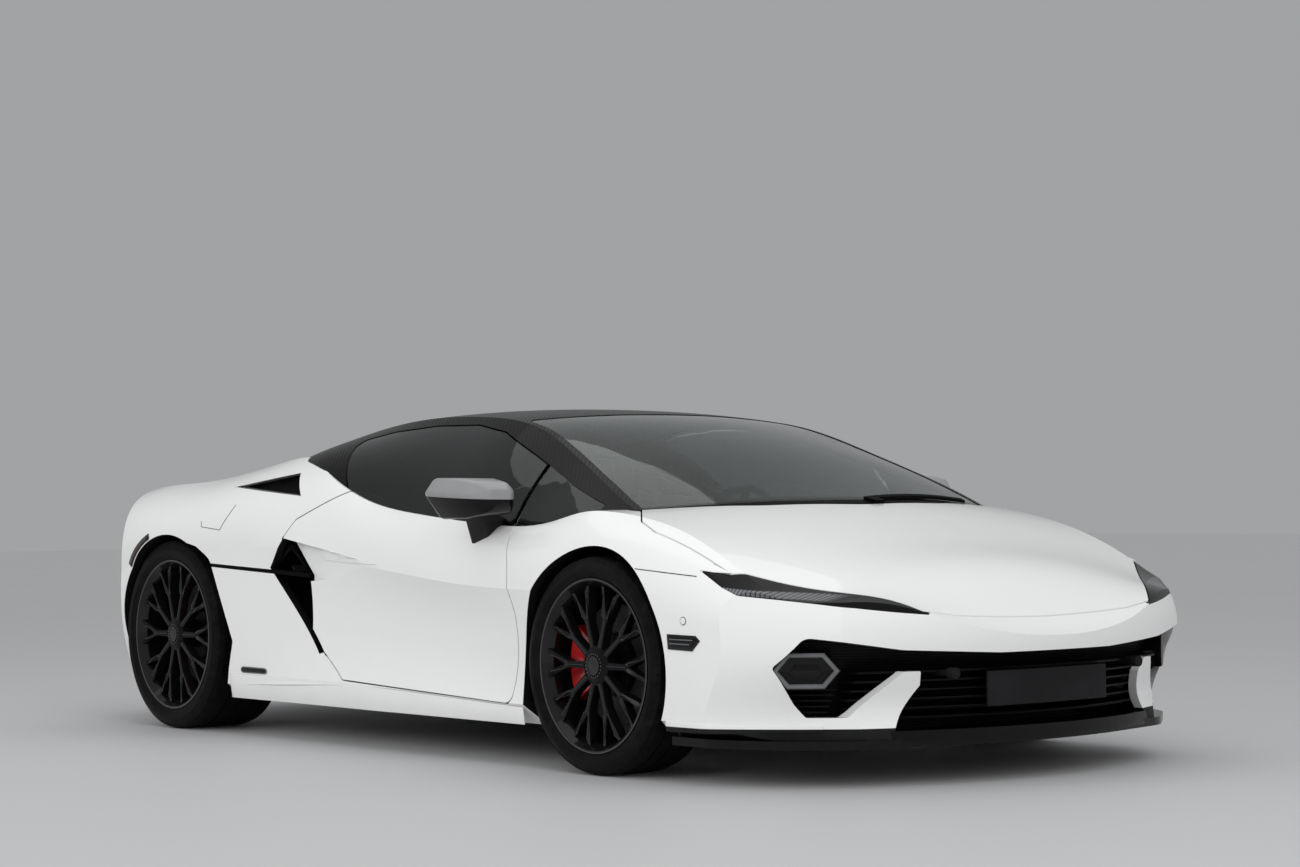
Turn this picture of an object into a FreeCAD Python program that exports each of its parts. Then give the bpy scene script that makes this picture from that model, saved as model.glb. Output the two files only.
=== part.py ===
import FreeCAD, Part
import Sketcher

import math
import os
from collections import namedtuple

from FreeCAD import Placement, Rotation, Vector

# Two-seat mid-engined supercar.  Millimetres.
# +X points forward, +Y to the left, +Z up; the origin is on the floor at the middle of the car.

doc = FreeCAD.newDocument("Supercar")
sheet = doc.addObject("Spreadsheet::Sheet", "Sizes")

# Driving dimensions: alias, value, what it is.
DIMENSIONS = (
    ("nose_x", 2353, "tip of the nose"),
    ("tail_x", -2353, "rearmost point of the tail"),
    ("side_y", 1060, "half width of the plan outline beside the doors"),
    ("front_axle_x", 1260, "front wheel centres"),
    ("rear_axle_x", -1398, "rear wheel centres"),
    ("front_track_half", 861, "middle of a front tyre"),
    ("rear_track_half", 835, "middle of a rear tyre"),
    ("front_tyre_r", 343.25, "front tyre outer radius"),
    ("front_tyre_width", 255, "front tyre section width"),
    ("front_rim_r", 275, "front rim flange radius"),
    ("rear_tyre_r", 364.2, "rear tyre outer radius"),
    ("rear_tyre_width", 325, "rear tyre section width"),
    ("rear_rim_r", 288, "rear rim flange radius"),
    ("front_arch_r", 376, "front wheel arch radius"),
    ("front_well_r", 402, "front wheel well behind the arch lip, clear of the steered tyre"),
    ("arch_lip_y", 925, "inner side of the front arch lip"),
    ("steer_axis_y", 815, "steering axis of a front wheel"),
    ("liner_wall", 6, "thickness of an arch liner"),
    ("axle_r", 21, "stub axle radius"),
    ("axle_play", 0.3, "clearance round a stub axle"),
    ("rear_arch_r", 386, "rear wheel arch radius"),
    ("well_inner_y", 556, "inner wall of a wheel well"),
    ("skin_wall", 30, "thickness of bonnet, wings and bumpers"),
    ("roof_wall", 34, "thickness of the roof frame"),
    ("glass_wall", 6, "thickness of the window glass"),
    ("door_wall", 92, "thickness of a whole door"),
    ("tub_gap", 6, "gap between door and tub"),
    ("tub_wall", 34, "wall of the cabin tub"),
    ("panel_gap", 5, "shut line round a moving panel"),
    ("floor_z", 132, "underside of the flat floor"),
    ("sill_z", 430, "top of the tub's side wall in the doorway"),
    ("door_front_x", 838, "front shut line of the doors"),
    ("bulkhead_x", -700, "rear of the cabin tub"),
    ("footwell_x", 815, "front of the cabin tub"),
    ("tread_groove", 7, "depth of a tread groove"),
    ("disc_r", 192, "brake disc radius"),
    ("disc_thick", 32, "brake disc thickness"),
    ("hub_r", 62, "wheel hub face radius"),
    ("spoke_count", 10, "branching spokes in a wheel"),
    ("spoke_depth", 30, "depth of a spoke"),
    ("wheel_ring_r", 178, "steering wheel rim radius"),
    ("wheel_ring_tube", 15, "steering wheel rim tube radius"),
    ("column_lean", 22, "lean of the steering wheel"),
    ("seat_width", 500, "width of a seat"),
    ("seat_y", 345, "middle of a seat"),
)


class Size:
    """A length from the sheet: a number for geometry and a text for expressions."""

    def __init__(self, value, text):
        self.value = value
        self.text = text

    def __float__(self):
        return float(self.value)

    def __add__(self, other):
        other = as_size(other)
        return Size(self.value + other.value, f"({self.text} + {other.text})")

    def __sub__(self, other):
        other = as_size(other)
        return Size(self.value - other.value, f"({self.text} - {other.text})")

    def __mul__(self, other):
        other = as_size(other)
        return Size(self.value * other.value, f"({self.text} * {other.text})")

    def __truediv__(self, other):
        other = as_size(other)
        return Size(self.value / other.value, f"({self.text} / {other.text})")

    def __neg__(self):
        return Size(-self.value, f"(0 - {self.text})")


def as_size(value):
    return value if isinstance(value, Size) else Size(value, repr(float(value)))


size = {}
for row, (alias, value, note) in enumerate(DIMENSIONS, start=1):
    sheet.set(f"A{row}", note)
    sheet.set(f"B{row}", str(value))
    sheet.setAlias(f"B{row}", alias)
    size[alias] = Size(float(value), f"Sizes.{alias}")
doc.recompute()


def mm(alias):
    return float(size[alias])


# ---------------------------------------------------------------- helpers: shapes

def feature(label, shape):
    """A sub-part whose shape is made with Part's own functions."""
    item = doc.addObject("Part::Feature", label)
    item.Label = label
    item.Shape = shape
    return item


def bind(item, **sizes):
    for name, value in sizes.items():
        item.setExpression(name, as_size(value).text)
    return item


def place(item, x=0, y=0, z=0, axis=(0, 0, 1), angle=0):
    item.Placement = Placement(Vector(0, 0, 0), Rotation(Vector(*axis), angle))
    for name, value in (("x", x), ("y", y), ("z", z)):
        item.setExpression(f"Placement.Base.{name}", as_size(value).text)
    return item


def rounded_wire(points):
    """Closed wire in 3-D from (Vector, corner radius) pairs: straight sides, tangent arcs."""
    edges = []
    count = len(points)
    starts = []
    ends = []
    for i, (corner, radius) in enumerate(points):
        back = points[i - 1][0] - corner
        ahead = points[(i + 1) % count][0] - corner
        half = back.getAngle(ahead) / 2
        reach = radius / math.tan(half) if radius else 0
        starts.append(corner + back.normalize() * reach)
        ends.append(corner + ahead.normalize() * reach)
        if radius:
            middle = (back + ahead).normalize()
            apex = corner + middle * (radius / math.sin(half) - radius)
            edges.append(Part.Arc(starts[i], apex, ends[i]).toShape())
        else:
            edges.append(None)
    wire = []
    for i in range(count):
        if edges[i] is not None:
            wire.append(edges[i])
        after = starts[(i + 1) % count]
        if (after - ends[i]).Length > 1e-6:
            wire.append(Part.makeLine(ends[i], after))
    return Part.Wire(wire)


def with_radius(points):
    return [(p[0], p[1], p[2] if len(p) > 2 else 0) for p in points]


def side_prism(points, y_from, y_to):
    """Side-view outline of (x, z[, corner radius]) pushed across the car."""
    wire = rounded_wire([(Vector(x, y_from, z), r) for x, z, r in with_radius(points)])
    return Part.Face(wire).extrude(Vector(0, y_to - y_from, 0))


def plan_prism(points, z_from, z_to):
    """Plan outline of (x, y[, corner radius]) pushed upwards."""
    wire = rounded_wire([(Vector(x, y, z_from), r) for x, y, r in with_radius(points)])
    return Part.Face(wire).extrude(Vector(0, 0, z_to - z_from))


def front_prism(points, x_from, x_to):
    """Front-view outline of (y, z[, corner radius]) pushed along the car."""
    wire = rounded_wire([(Vector(x_from, y, z), r) for y, z, r in with_radius(points)])
    return Part.Face(wire).extrude(Vector(x_to - x_from, 0, 0))


def moved_outline(points, step):
    """Closed outline grown (or shrunk) by a step, corner radii kept."""
    points = with_radius(points)
    count = len(points)
    area = sum(points[i][0] * points[(i + 1) % count][1] - points[(i + 1) % count][0] * points[i][1]
               for i in range(count))
    turn = 1 if area > 0 else -1
    grown = []
    for i, (a, b, radius) in enumerate(points):
        before = points[i - 1]
        after = points[(i + 1) % count]
        first = Vector(a - before[0], b - before[1], 0).normalize()
        second = Vector(after[0] - a, after[1] - b, 0).normalize()
        one = Vector(first.y, -first.x, 0) * turn
        two = Vector(second.y, -second.x, 0) * turn
        shift = (one + two) * (step / (1 + one.dot(two)))
        grown.append((a + shift.x, b + shift.y, radius))
    return grown


def block(x_range, y_range, z_range):
    low = Vector(x_range[0], y_range[0], z_range[0])
    return Part.makeBox(x_range[1] - x_range[0], y_range[1] - y_range[0],
                        z_range[1] - z_range[0], low)


def cross_cylinder(radius, x, z, y_from, y_to):
    """Cylinder whose axis runs across the car."""
    return Part.makeCylinder(radius, y_to - y_from, Vector(x, y_from, z), Vector(0, 1, 0))


def mirrored(shape):
    return shape.mirror(Vector(0, 0, 0), Vector(0, 1, 0))


def both_sides(shape):
    return Part.Compound(shape.Solids + mirrored(shape).Solids)


def biggest(shape):
    return max(shape.Solids, key=lambda solid: solid.Volume)


def largest(shape, count):
    """The count biggest solids."""
    return sorted(shape.Solids, key=lambda solid: solid.Volume)[-count:]


def kept(shape, least=2000):
    """Only the solids above a least volume."""
    return Part.Compound([s for s in shape.Solids if s.Volume > least])


# ---------------------------------------------------------------- body surfaces

# Half section of the lower body at each x, from the floor up to the middle of the deck.
Station = namedtuple("Station", "x floor_y floor_z sill_y sill_z waist_y waist_z crease_y crease_z "
                                "flank_y flank_z belt_y belt_z deck_z")
LOWER_BODY = [Station(*row) for row in (
    (-2450, 640, 330, 780, 380, 862, 470, 905, 560, 880, 720, 742, 830, 845),
    (-2150, 690, 265, 850, 320, 930, 440, 958, 580, 930, 770, 765, 885, 866),
    (-1800, 780, 180, 935, 245, 985, 430, 994, 610, 968, 815, 790, 938, 892),
    (-1398, 878, 142, 962, 190, 990, 420, 999, 650, 975, 835, 790, 957, 918),
    (-1000, 900, 138, 975, 190, 985, 420, 993, 690, 950, 880, 756, 1012, 962),
    (-700, 910, 138, 982, 200, 968, 420, 988, 705, 938, 890, 778, 1034, 1000),
    (-430, 915, 138, 984, 212, 950, 425, 984, 690, 945, 850, 868, 966, 930),
    (-150, 918, 138, 985, 222, 938, 415, 980, 655, 955, 790, 896, 874, 860),
    (200, 917, 138, 986, 222, 930, 405, 979, 618, 956, 740, 899, 820, 825),
    (600, 910, 138, 988, 212, 937, 390, 984, 585, 957, 700, 899, 786, 812),
    (950, 912, 138, 990, 205, 966, 380, 995, 575, 966, 712, 893, 795, 832),
    (1110, 914, 138, 990, 202, 984, 378, 998, 570, 965, 716, 878, 826, 850),
    (1268, 914, 138, 990, 200, 990, 375, 999, 565, 962, 722, 854, 820, 866),
    (1650, 895, 135, 975, 190, 984, 350, 990, 520, 955, 645, 858, 736, 784),
    (1900, 820, 130, 958, 185, 968, 335, 973, 470, 948, 562, 864, 622, 702),
    (2150, 690, 126, 930, 180, 942, 320, 945, 430, 925, 495, 852, 532, 600),
    (2450, 640, 122, 880, 175, 895, 310, 896, 385, 880, 425, 822, 448, 438),
)]

# Half section of the cabin's glasshouse at each x.
Canopy = namedtuple("Canopy", "x base_y base_z belt_y belt_z glass_y glass_z rail_y rail_z crown_z")
GLASSHOUSE = [Canopy(*row) for row in (
    (-1620, 560, 500, 600, 780, 590, 820, 560, 845, 868),
    (-1250, 600, 500, 690, 900, 670, 930, 620, 950, 985),
    (-860, 700, 500, 752, 1000, 716, 1026, 622, 1062, 1112),
    (-500, 800, 500, 852, 985, 770, 1060, 604, 1132, 1177),
    (-150, 860, 500, 893, 872, 790, 1025, 594, 1166, 1201),
    (150, 860, 500, 897, 825, 784, 1000, 600, 1162, 1195),
    (402, 860, 500, 897, 802, 790, 975, 620, 1140, 1176),
    (600, 860, 500, 897, 786, 798, 940, 644, 1093, 1147),
    (801, 860, 500, 897, 780, 812, 895, 690, 1018, 1096),
    (1000, 850, 500, 890, 795, 832, 862, 741, 938, 1026),
    (1200, 830, 500, 862, 806, 826, 825, 782, 850, 942),
    (1400, 800, 500, 820, 700, 800, 735, 770, 765, 856),
    (1560, 780, 500, 790, 600, 770, 650, 740, 690, 782),
)]

# Plan outline at each height: middle and corner of the nose, where the side starts, then the tail.
Outline = namedtuple("Outline", "z nose_back nose_corner_x nose_corner_y front_side_x "
                                "tail_in tail_corner_x tail_corner_y rear_side_x")
PLAN = [Outline(*row) for row in (
    (60, 88, 2100, 655, 1630, 120, -2120, 600, -1680),
    (210, 74, 2115, 668, 1660, 70, -2170, 610, -1685),
    (340, 38, 2135, 735, 1710, 20, -2215, 630, -1695),
    (480, 0, 2160, 740, 1730, 0, -2240, 640, -1700),
    (560, 12, 2140, 722, 1720, 8, -2232, 636, -1700),
    (720, 70, 2080, 695, 1690, 60, -2180, 625, -1690),
    (900, 150, 2010, 680, 1650, 150, -2085, 600, -1670),
    (1100, 260, 1910, 660, 1600, 260, -1960, 580, -1700),
)]


def inset(points, depth):
    """Half section moved inwards by a depth; its two ends stay in the middle plane."""
    if depth == 0:
        return points
    moved = []
    last = len(points) - 1
    for i, here in enumerate(points):
        if i == 0:
            moved.append(here + Vector(0, 0, depth))
        elif i == last:
            moved.append(here - Vector(0, 0, depth))
        else:
            before = (here - points[i - 1]).normalize()
            after = (points[i + 1] - here).normalize()
            normals = [Vector(0, -d.z, d.y) for d in (before, after)]
            total = normals[0] + normals[1]
            moved.append(here + total * (depth / (1 + normals[0].dot(normals[1]))))
    return moved


def bow(start, middle, end):
    """Parabolic edge from start to end through the middle point."""
    curve = Part.BezierCurve()
    curve.setPoles([start, middle * 2 - (start + end) * 0.5, end])
    return curve.toShape()


def opposite(point):
    return Vector(point.x, -point.y, point.z)


# The corner of the floor draws in by this share of the depth, so that a deep inset doesn't cross.
FLOOR_TUCK = 0.48


def lower_section(row, depth):
    floor_y = row.floor_y - FLOOR_TUCK * depth
    half = [Vector(row.x, y, z) for y, z in (
        (0, row.floor_z), (floor_y, row.floor_z), (row.sill_y, row.sill_z),
        (row.waist_y, row.waist_z), (row.crease_y, row.crease_z), (row.flank_y, row.flank_z),
        (row.belt_y, row.belt_z), (0, row.deck_z))]
    middle, floor, sill, waist, crease, flank, belt, deck = inset(half, depth)
    left = [Part.makeLine(floor, sill), bow(sill, waist, crease),
            bow(crease, flank, belt)]
    right = [bow(opposite(belt), opposite(flank), opposite(crease)),
             bow(opposite(crease), opposite(waist), opposite(sill)),
             Part.makeLine(opposite(sill), opposite(floor))]
    over = [bow(belt, deck, opposite(belt))]
    under = [Part.makeLine(opposite(floor), floor)]
    return Part.Wire(left + over + right + under)


def canopy_section(row, depth):
    half = [Vector(row.x, y, z) for y, z in (
        (0, row.base_z), (row.base_y, row.base_z), (row.belt_y, row.belt_z),
        (row.glass_y, row.glass_z), (row.rail_y, row.rail_z), (0, row.crown_z))]
    middle, base, belt, glass, rail, crown = inset(half, depth)
    left = [Part.makeLine(base, belt), bow(belt, glass, rail)]
    right = [bow(opposite(rail), opposite(glass), opposite(belt)),
             Part.makeLine(opposite(belt), opposite(base))]
    over = [bow(rail, crown, opposite(rail))]
    under = [Part.makeLine(opposite(base), base)]
    return Part.Wire(left + over + right + under)


def plan_section(row, depth):
    side = mm("side_y") - depth
    nose = Vector(mm("nose_x") - row.nose_back - depth, 0, row.z)
    tail = Vector(mm("tail_x") + row.tail_in + depth, 0, row.z)
    nose_corner = Vector(row.nose_corner_x - depth, row.nose_corner_y - depth / 2, row.z)
    tail_corner = Vector(row.tail_corner_x + depth, row.tail_corner_y - depth / 2, row.z)
    front_side = Vector(row.front_side_x - depth, side, row.z)
    rear_side = Vector(row.rear_side_x + depth, side, row.z)
    nose_bend = (nose_corner + front_side) * 0.5 + Vector(25, 12, 0)
    tail_bend = (tail_corner + rear_side) * 0.5 + Vector(-8, 6, 0)
    return Part.Wire([
        bow(opposite(nose_corner), nose, nose_corner),
        bow(nose_corner, nose_bend, front_side),
        Part.makeLine(front_side, rear_side),
        bow(rear_side, tail_bend, tail_corner),
        bow(tail_corner, tail, opposite(tail_corner)),
        bow(opposite(tail_corner), opposite(tail_bend), opposite(rear_side)),
        Part.makeLine(opposite(rear_side), opposite(front_side)),
        bow(opposite(front_side), opposite(nose_bend), opposite(nose_corner)),
    ])


def lower_body(depth):
    """The lower body moved inwards by a depth."""
    along = Part.makeLoft([lower_section(row, depth) for row in LOWER_BODY], True, False)
    upright = Part.makeLoft([plan_section(row, depth) for row in PLAN], True, False)
    return along.common(upright)


def glasshouse(depth):
    return Part.makeLoft([canopy_section(row, depth) for row in GLASSHOUSE], True, False)


outer = lower_body(0)
skin_inner = lower_body(mm("skin_wall"))
skin = outer.cut(skin_inner)
door_shell = outer.cut(lower_body(mm("door_wall")))
canopy_outer = glasshouse(0)
canopy = canopy_outer.cut(glasshouse(mm("roof_wall"))).cut(outer)
gap = mm("panel_gap")

LEFT = block((-2500, 2500), (0, 1300), (0, 1400))

# Front edge of the rear wheel arch: straight and raked, with the sill's point below it.
REAR_ARCH_FRONT = [(-1330, 735), (-1180, 706, 80), (-1088, 655, 60), (-944, 350, 15),
                   (-977, 249, 40), (-1003, 138), (-1003, 60), (-1398, 60), (-1398, 364)]


def wheel_wells(margin=0):
    """Space of all four wheels, from the inner wall of the well outwards."""
    inner = mm("well_inner_y") - margin
    front = cross_cylinder(mm("front_arch_r") + margin, mm("front_axle_x"), mm("front_tyre_r"),
                           inner, 1300)
    front = front.fuse(cross_cylinder(mm("front_well_r") + margin, mm("front_axle_x"),
                                      mm("front_tyre_r"), inner, mm("arch_lip_y") + margin))
    rear = cross_cylinder(mm("rear_arch_r") + margin, mm("rear_axle_x"), mm("rear_tyre_r"),
                          inner, 1300)
    rear = rear.fuse(side_prism(moved_outline(REAR_ARCH_FRONT, margin), inner, 1300))
    wells = front.fuse(rear)
    return wells.fuse(mirrored(wells))


WELLS = wheel_wells()

# ---------------------------------------------------------------- shut lines

DOOR_FRONT = mm("door_front_x")
DOOR_OUTLINE = [(742, 1010), (742, 800, 40), (815, 650, 60), (DOOR_FRONT, 500), (DOOR_FRONT, 206, 30),
                (-190, 240, 45), (-345, 330), (-425, 411), (-415, 604), (-575, 737),
                (-510, 804, 30), (-250, 905), (-250, 1010)]
INTAKE_OUTLINE = [(-425, 411), (-415, 604), (-575, 737), (-672, 629), (-375, 322), (-345, 330)]
BONNET_HALF = [(1262, 770), (1385, 868, 40), (1480, 890, 60), (1839, 893, 10), (2250, 502, 20),
               (2265, 380, 60)]
LAMP_OUTLINE = [(1745, 643), (1842, 634), (1910, 650), (2060, 640), (2249, 560), (2265, 511),
                (2222, 521), (2165, 535, 60), (2092, 548, 60), (2007, 561, 60), (1914, 573, 60),
                (1847, 596, 20)]
VENT_OUTLINE = [(-1054, 930), (-644, 977), (-534, 891)]
WINDOW_OUTLINE = [(1138, 848), (914, 915, 60), (632, 1019, 200), (385, 1104, 150),
                  (190, 1134, 200), (-60, 1138, 200), (-300, 1122, 100), (-455, 1092, 20),
                  (-262, 880), (-262, 700), (1138, 700)]
SILL_TOP = [(905, 201), (-190, 235), (-1012, 235)]


def mirrored_outline(half):
    """Plan outline of both sides from the left half, front to back and round again."""
    half = with_radius(half)
    return half + [(x, -y, radius) for x, y, radius in reversed(half)]


def cab_rear(step):
    """Plan outline of the bonnet: rear edge bowed forward under the windscreen."""
    points = mirrored_outline(BONNET_HALF)
    front = [(2268, 0, 0)]
    half = len(points) // 2
    back = [(1420, -400, 300), (1475, 0, 500), (1420, 400, 300)]
    return moved_outline(points[:half] + front + points[half:] + back, step)


bonnet_tool = plan_prism(cab_rear(0), 478, 1000)
bonnet_hole = plan_prism(cab_rear(gap), 473, 1000)
lamp_tool = side_prism(LAMP_OUTLINE, 480, 1300).cut(bonnet_hole)
door_tool = side_prism(DOOR_OUTLINE, 700, 1300)
door_hole = side_prism(moved_outline(DOOR_OUTLINE, gap), 700, 1300)
intake_tool = side_prism(INTAKE_OUTLINE, 700, 1300)
window_tool = side_prism(WINDOW_OUTLINE, 420, 1300)
cover_outline = [(-800, 470, 30), (-1250, 560, 200), (-1835, 600, 60), (-1835, -600, 60),
                 (-1250, -560, 200), (-800, -470, 30)]
cover_tool = plan_prism(cover_outline, 600, 1300)
cover_hole = plan_prism(moved_outline(cover_outline, gap), 600, 1300)
sill_tool = side_prism([(905, 60)] + SILL_TOP + [(-1012, 60)], 600, 1300)

# ---------------------------------------------------------------- doors

recess = side_prism([(70, 644), (-600, 742), (-600, 575), (-380, 585)], 800, 1300)
recess = recess.common(plan_prism([(70, 988), (-600, 932), (-600, 1200), (70, 1200)], 500, 800))
door = door_shell.common(door_tool).common(block((-2000, 2000), (806, 1300), (100, 1010)))
# The lower front corner is cut back inside, so that it swings past the sill.
heel_relief = side_prism([(560, 190), (900, 190), (900, 216), (560, 216)], 700, 945)
door = biggest(door.cut(recess).cut(WELLS).cut(heel_relief))
glass_tool = side_prism(moved_outline(WINDOW_OUTLINE, -gap), 420, 1300)
side_glass = glasshouse(2).cut(glasshouse(2 + mm("glass_wall"))).common(window_tool)
moving_glass = side_glass.common(glass_tool)
door_glass_span = side_prism([(736, 600), (704, 1200), (-700, 1200), (-700, 600)], 400, 1300)
door_glass = moving_glass.common(door_glass_span).cut(outer)
feature("door_left", door)
feature("door_right", mirrored(door))
feature("door_glass_left", biggest(door_glass))
feature("door_glass_right", mirrored(biggest(door_glass)))

# ---------------------------------------------------------------- bonnet and engine cover

bonnet = biggest(skin.common(bonnet_tool))
feature("bonnet", bonnet)

under_skin = skin_inner.fuse(glasshouse(mm("skin_wall")))
upper_skin = outer.fuse(canopy_outer).cut(under_skin)
cover = biggest(upper_skin.common(cover_tool).common(block((-2000, -700), (-700, 700), (780, 1300))))
LOUVRES = 5
LOUVRE_PITCH = 135
LOUVRE_LENGTH = 62
for level in range(LOUVRES):
    x = -1010 - LOUVRE_PITCH * level
    x_end = x - LOUVRE_LENGTH
    half = 250 + 22 * level
    cover = cover.cut(plan_prism(mirrored_outline([(x, half, 20), (x_end, half + 18, 20)]),
                                 600, 1300))
cover = biggest(cover)
feature("engine_cover", cover)

# ---------------------------------------------------------------- roof frame and fixed glass

screen_half = [(405, 592, 40), (600, 616, 300), (801, 662, 300), (1000, 713, 300), (1200, 754, 100),
               (1600, 800)]
screen_outline = mirrored_outline(screen_half) + [(478, 0, 900)]
screen_tool = plan_prism(screen_outline, 600, 1300)
roof = canopy.cut(screen_tool).cut(window_tool).cut(mirrored(window_tool)).cut(cover_hole)
roof = roof.common(block((-1900, 1500), (-1000, 1000), (700, 1300))).cut(bonnet_hole)
feature("roof_frame", biggest(roof))
windscreen = glasshouse(2).cut(glasshouse(2 + mm("glass_wall"))).common(screen_tool).cut(outer)
feature("windscreen", biggest(windscreen))
quarter_span = side_prism([(756, 600), (724, 1200), (1300, 1200), (1300, 600)], 400, 1300)
feature("quarter_glass", both_sides(biggest(side_glass.common(quarter_span).cut(outer))))

# ---------------------------------------------------------------- fixed panels of the lower body

cowl_outline = [(1075, 800), (1262, 800), (1420, 400, 300), (1466, 0, 500), (1420, -400, 300),
                (1262, -800), (1075, -800)]
cowl_tool = plan_prism(cowl_outline, 600, 1000)
cowl = biggest(skin.common(cowl_tool).cut(bonnet_hole).common(block((1000, 1600), (-801, 801),
                                                                   (700, 1000))))
feature("cowl", cowl)

sill = biggest(skin.common(LEFT).common(sill_tool).cut(WELLS))
feature("side_sills", both_sides(sill))

WING_SPLIT = [(700, 1020), (700, 140), (1260, 140), (1480, 655), (1738, 634), (1800, 700),
              (1800, 1020)]
wing_tool = side_prism(WING_SPLIT, 0, 1300)
wing = skin.common(LEFT).common(wing_tool).cut(door_hole).cut(sill_tool).cut(WELLS)
wing = wing.cut(bonnet_hole).cut(lamp_tool).cut(cowl_tool).common(block((700, 1900), (795, 1300),
                                                                        (100, 1100)))
feature("front_wings", both_sides(biggest(wing)))

feature("headlamps", both_sides(biggest(skin.common(lamp_tool))))

MASK_HALF = [(240, 392), (566, 409, 200), (822, 450, 25), (878, 360, 15), (802, 250, 10),
             (768, 209, 10), (676, 209, 8), (545, 344, 8), (496, 344, 8), (484, 301, 6), (566, 140),
             (566, 60)]


def both_sides_front(half):
    """Front-view outline of both sides from the left half."""
    half = with_radius(half)
    return half + [(-y, z, radius) for y, z, radius in reversed(half)]


mask_tool = front_prism(both_sides_front(MASK_HALF), 1840, 2450)
TRAY_HALF = [(560, 424), (836, 465, 25), (895, 360, 15), (812, 196, 10), (640, 140, 6)]
splitter_half = [(1615, 945), (1800, 938, 200), (2012, 840, 160), (2165, 650, 200)]
splitter_plan = [(x, y, r) for x, y, r in with_radius(splitter_half)]
splitter_plan += [(2330, 0, 1500)] + [(x, -y, r) for x, y, r in reversed(splitter_plan)]
splitter = plan_prism(splitter_plan, 116, 142)
splitter = splitter.cut(plan_prism([(1500, 800), (1850, 700), (1850, -700), (1500, -800)], 100, 150))
chin = skin.common(front_prism([(566, 60), (566, 166), (-566, 166), (-566, 60)], 1860, 2450))
splitter = biggest(splitter.fuse(chin).cut(WELLS))
bumper = skin.common(block((1300, 2450), (-1300, 1300), (125, 760)))
bumper = bumper.cut(wing_tool).cut(mirrored(wing_tool)).cut(bonnet_hole).cut(lamp_tool)
bumper = bumper.cut(mirrored(lamp_tool)).cut(WELLS).cut(mask_tool).cut(splitter)
bumper = bumper.cut(block((1200, 1900), (-820, 820), (0, 300)))
feature("front_bumper", kept(bumper, 40000))
feature("front_splitter", splitter)

# ---------------------------------------------------------------- tail

tray_floor = skin.common(block((-2080, 1855), (-795, 795), (0, 300)))
for tool in (WELLS, sill_tool, mirrored(sill_tool), splitter, bumper):
    tray_floor = tray_floor.cut(tool)
undertray = biggest(tray_floor)

blade_tool = side_prism([(-1153, 645), (-1153, 632), (-425, 596), (-425, 612)], 850, 1300)
blade = skin.common(blade_tool).cut(WELLS).cut(door_hole)

TAIL_SPLIT_X = -2080
deck_strip = block((TAIL_SPLIT_X - 1, -1841), (-620, 620), (600, 1100))
quarter = skin.common(LEFT).common(block((TAIL_SPLIT_X, -190), (430, 1300), (130, 1100)))
quarter = quarter.cut(undertray).cut(deck_strip).cut(blade_tool)
vent_tool = side_prism(VENT_OUTLINE, 700, 1300)
quarter = quarter.cut(door_hole).cut(intake_tool).cut(sill_tool).cut(WELLS).cut(cover_hole)
quarter = quarter.cut(vent_tool)
quarter = quarter.cut(canopy_outer).cut(block((-900, -200), (0, 690), (0, 1100)))
feature("rear_quarters", both_sides(Part.Compound(largest(quarter, 2))))

LAMP_REAR = [(740, 742, 10), (540, 776, 10), (440, 700, 10), (500, 655, 10), (640, 665, 10),
             (700, 690, 10)]
tail_lamp_tool = front_prism(LAMP_REAR, -2450, -2100)
mesh_half = [(410, 720, 20), (480, 640, 20), (690, 615, 20), (705, 480, 20), (500, 440, 20)]
mesh_tool = front_prism(both_sides_front(mesh_half), -2450, -2100)
tail_space = block((-2450, TAIL_SPLIT_X), (-1300, 1300), (330, 1000)).fuse(deck_strip)
tail = skin.common(tail_space)
tail = tail.cut(tail_lamp_tool).cut(mirrored(tail_lamp_tool)).cut(mesh_tool)
feature("rear_bumper", biggest(tail))
feature("tail_lamps", both_sides(biggest(skin.common(tail_lamp_tool))))
behind = skin_inner.cut(lower_body(mm("skin_wall") + 14))
mesh_grown = front_prism(moved_outline(both_sides_front(mesh_half), 12), -2450, -2000)
mesh = behind.common(mesh_grown)

# ---------------------------------------------------------------- front intake

TRAY_DEPTH = 70
TRAY_WALL = 10
deep = skin_inner.cut(lower_body(mm("skin_wall") + TRAY_DEPTH))
tray_outline = both_sides_front(TRAY_HALF)
tray_back = [(1790, 960), (1880, 800), (2030, 560), (2060, 0), (2030, -560), (1880, -800),
             (1790, -960), (2450, -960), (2450, 960)]
tray = deep.common(front_prism(tray_outline, 1780, 2450)).common(plan_prism(tray_back, 50, 600))
shallow = skin_inner.cut(lower_body(mm("skin_wall") + TRAY_DEPTH - TRAY_WALL))
tray_space = front_prism(moved_outline(tray_outline, -TRAY_WALL), 1780, 2450)
tray_space = tray_space.common(plan_prism(moved_outline(tray_back, -TRAY_WALL), 50, 600))
tray = tray.cut(shallow.common(tray_space))
slats = []
for level in range(5):
    z = 222 + 17 * level
    for side in (1, -1):
        slats.append(block((1950, 2400), sorted((side * 700, side * 960)), (z, z + 5)))
for level in range(6):
    z = 198 + 28 * level
    slats.append(block((2050, 2400), (-660, 660), (z, z + 7)))
tray = tray.cut(splitter)
slats = slats[0].multiFuse(slats[1:]).common(shallow.common(tray_space)).cut(splitter)

LAMP_HEX = [(103, 0), (56, 54), (-56, 54), (-103, 0), (-56, -54), (56, -54)]


def hexagon(scale, depth_from, depth_to):
    """Six-sided prism along X round its own middle."""
    return front_prism([(y * scale, z * scale) for y, z in LAMP_HEX], depth_from, depth_to)


day_lamp = hexagon(1.0, -60, 0).cut(hexagon(0.8, -14, 10)).cut(hexagon(0.62, -30, 10))
day_lamp.Placement = Placement(Vector(2052, 790, 350), Rotation(Vector(0, 0, 1), 40))
lamp_pair = both_sides(day_lamp)
feature("daylight_lamps", lamp_pair)
feature("front_grille", biggest(tray.fuse(slats).cut(lamp_pair)))


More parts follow.
